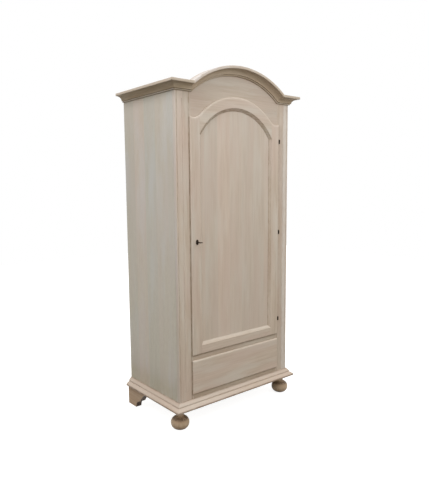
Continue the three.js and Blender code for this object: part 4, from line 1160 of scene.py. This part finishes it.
# The escutcheon's two pins, and a dark disc behind the keyhole, painted shade in the hole.
dome = [(1.5, -258.7), (1.45, -259.1), (1.1, -259.45), (0.6, -259.6), (0, -259.65)]
spots = [(lock["x"], lock["height"] + way * lock["pinOffset"]) for way in (-1, 1)]
pins = [turnedSheet(dome, spot, 1, 16, [0, 0.5, 0.9, 1, 1], (True, False)) for spot in spots]
makePiece("escutcheon_pins", pins, "darkMetal", "door", ())
angle = np.linspace(0, fullTurn, 48, endpoint=False)
reach = np.array([[4.2], [2.0], [0.5]])
depth = (lock["x"] + reach * np.cos(angle), lock["height"] - 3.2 + 2 * reach * np.sin(angle), -257.35, 1)
part = sheet(gridPoints(*depth), upright, -1.0, caps=(False, True))
makePiece("keyhole_depth", [part], "darkMetal", "door", ())
print("metalwork ready")

# The hanging rail and its two end sockets.
low, high = nodeBox("hanging_rail")
railR = (high[2] - low[2]) / 2
bore = railR + 0.3
centre = ((low[1] + high[1]) / 2, (low[2] + high[2]) / 2)
railSteps = [(0, low[0]), (railR - 1, low[0]), (railR, low[0] + 1)]
railSteps += [(railR, high[0] - 1), (railR - 1, high[0]), (0, high[0])]
rail = turnedSheet(railSteps, centre, 0, 40, [0, 0.5, 0.5, 0.5, 0.5, 0], openEnds, straight)
makePiece("hanging_rail", [rail], "inner")
for side, word in bothSides:
    low, high = nodeBox("rail_socket_" + word)
    socketR = (high[2] - low[2]) / 2
    wall, mouth = (high[0], low[0]) if side > 0 else (low[0], high[0])
    steps = [(0, wall), (socketR - 0.6, wall), (socketR, wall - side * 0.6), (socketR, mouth + side * 2)]
    steps += [(socketR - 0.6, mouth + side * 0.6), (socketR - 2, mouth), (bore + 0.8, mouth)]
    steps += [(bore, mouth + side * 0.8), (bore, wall - side * 3.5), (0, wall - side * 3.5)]
    part = turnedSheet(steps, centre, 0, 48, [0, 0, 0.5, 0.3, 1, 0.8, 0.8, 0, -1, -1], openEnds, straight)
    makePiece("rail_socket_" + word, [part], "inner")
print("inside ready")

# Floor, light and camera. A lamp has its place, size, power and colour.
studio = {
    "floorHalf": 7.0, "floorZ": -0.0005, "floorGlow": 0.88, "floorColour": (0.5, 0.5, 0.5, 1),
    "worldStrength": 0.86, "worldColour": (1.0, 0.965, 0.922, 1.0), "bounceColour": (0.1, 0.097, 0.094, 1.0),
    "lamps": {
        "softLeft": ((-1.9, -0.7, 3.3), 1.4, 36.0, (0.87, 0.91, 1.04)),
        "softFront": ((0.9, -2.4, 2.9), 1.6, 22.5, (0.86, 0.92, 1.02)),
        "softFill": ((0.2, -3.4, 1.6), 2.0, 8.0, (1.1, 1.0, 0.88)),
    },
    "target": (0.0, 0.0, 1.2),
}
view = {"place": (-2.0521, -2.5286, 1.4089), "yaw": 0.6876, "pitch": 0.1241, "roll": -0.0073, "lens": 36.37}


# The rays that see the backdrop itself: camera, mirror and glass rays, at most one.
def seenDirectly():
    path = addNode("LightPath")
    either = calc("MAXIMUM", path.outputs["Is Camera Ray"], path.outputs["Is Glossy Ray"])
    return calc("MAXIMUM", either, path.outputs["Is Transmission Ray"])


# Floor: white to the camera with the object's shadow left on it, darker as a source of bounced light.
def makeFloor():
    half = studio["floorHalf"]
    mesh = bpy.data.meshes.new("studioFloor")
    corners = ((-half, -half), (half, -half), (half, half), (-half, half))
    mesh.from_pydata([(x, y, studio["floorZ"]) for x, y in corners], [], [(0, 1, 2, 3)])
    floor = addObject("studioFloor", mesh)
    material = emptyMaterial("paleFloor")
    direct = seenDirectly()
    colour = mixColour(direct, studio["bounceColour"], studio["floorColour"])
    matt = addNode("BsdfDiffuse", {"Color": colour})
    values = {"Color": (1, 1, 1, 1), "Strength": times(direct, studio["floorGlow"])}
    glow = addNode("Emission", values)
    finishTree(addNode("AddShader", {0: matt.outputs[0], 1: glow.outputs[0]}))
    mesh.materials.append(material)


# World: white to the camera, a little warm and weaker as light.
def makeWorld():
    scene.world = bpy.data.worlds.new("studioWorld")
    emptyTree(scene.world)
    direct = seenDirectly()
    strength = times(calc("SUBTRACT", 1.0, direct), studio["worldStrength"], direct)
    colour = mixColour(direct, studio["worldColour"], (1, 1, 1, 1))
    finishTree(addNode("Background", {"Color": colour, "Strength": strength}), "World")


# The matrix of a thing at a place with its own right, up and back.
def placing(right, up, back, place):
    turned = np.eye(4)
    turned[:3] = np.stack([right, up, back, place], axis=1)
    return Matrix(turned.tolist())


# Lamps look at the target, with +Y as near upright as it can be.
def makeLamp(name, place, size, power, colour):
    light = bpy.data.lights.new(name, "AREA")
    light.shape, light.size, light.energy, light.color = "DISK", size, power, colour
    place = np.array(place, float)
    back = place - np.array(studio["target"])
    back = back / np.linalg.norm(back)
    right = np.cross([0, 0, 1], back)
    right = right / np.linalg.norm(right)
    addObject(name, light).matrix_world = placing(right, np.cross(back, right), back, place)


# The photograph's view: forward from yaw and pitch, then right and up turned by the roll.
def makeCamera():
    yaw, pitch, roll = view["yaw"], view["pitch"], view["roll"]
    forward = np.array([math.sin(yaw) * math.cos(pitch), math.cos(yaw) * math.cos(pitch), -math.sin(pitch)])
    right = np.array([math.cos(yaw), -math.sin(yaw), 0.0])
    up = np.cross(right, forward)
    turnedRight = math.cos(roll) * right + math.sin(roll) * up
    turnedUp = math.cos(roll) * up - math.sin(roll) * right
    lens = bpy.data.cameras.new("photoView")
    lens.lens, lens.sensor_width, lens.sensor_fit = view["lens"], 36.0, "AUTO"
    camera = addObject("photoView", lens)
    camera.matrix_world = placing(turnedRight, turnedUp, -forward, view["place"])
    bpy.context.scene.camera = camera


makeFloor()
makeWorld()
for name, lamp in studio["lamps"].items():
    makeLamp(name, *lamp)
makeCamera()
print("studio ready")
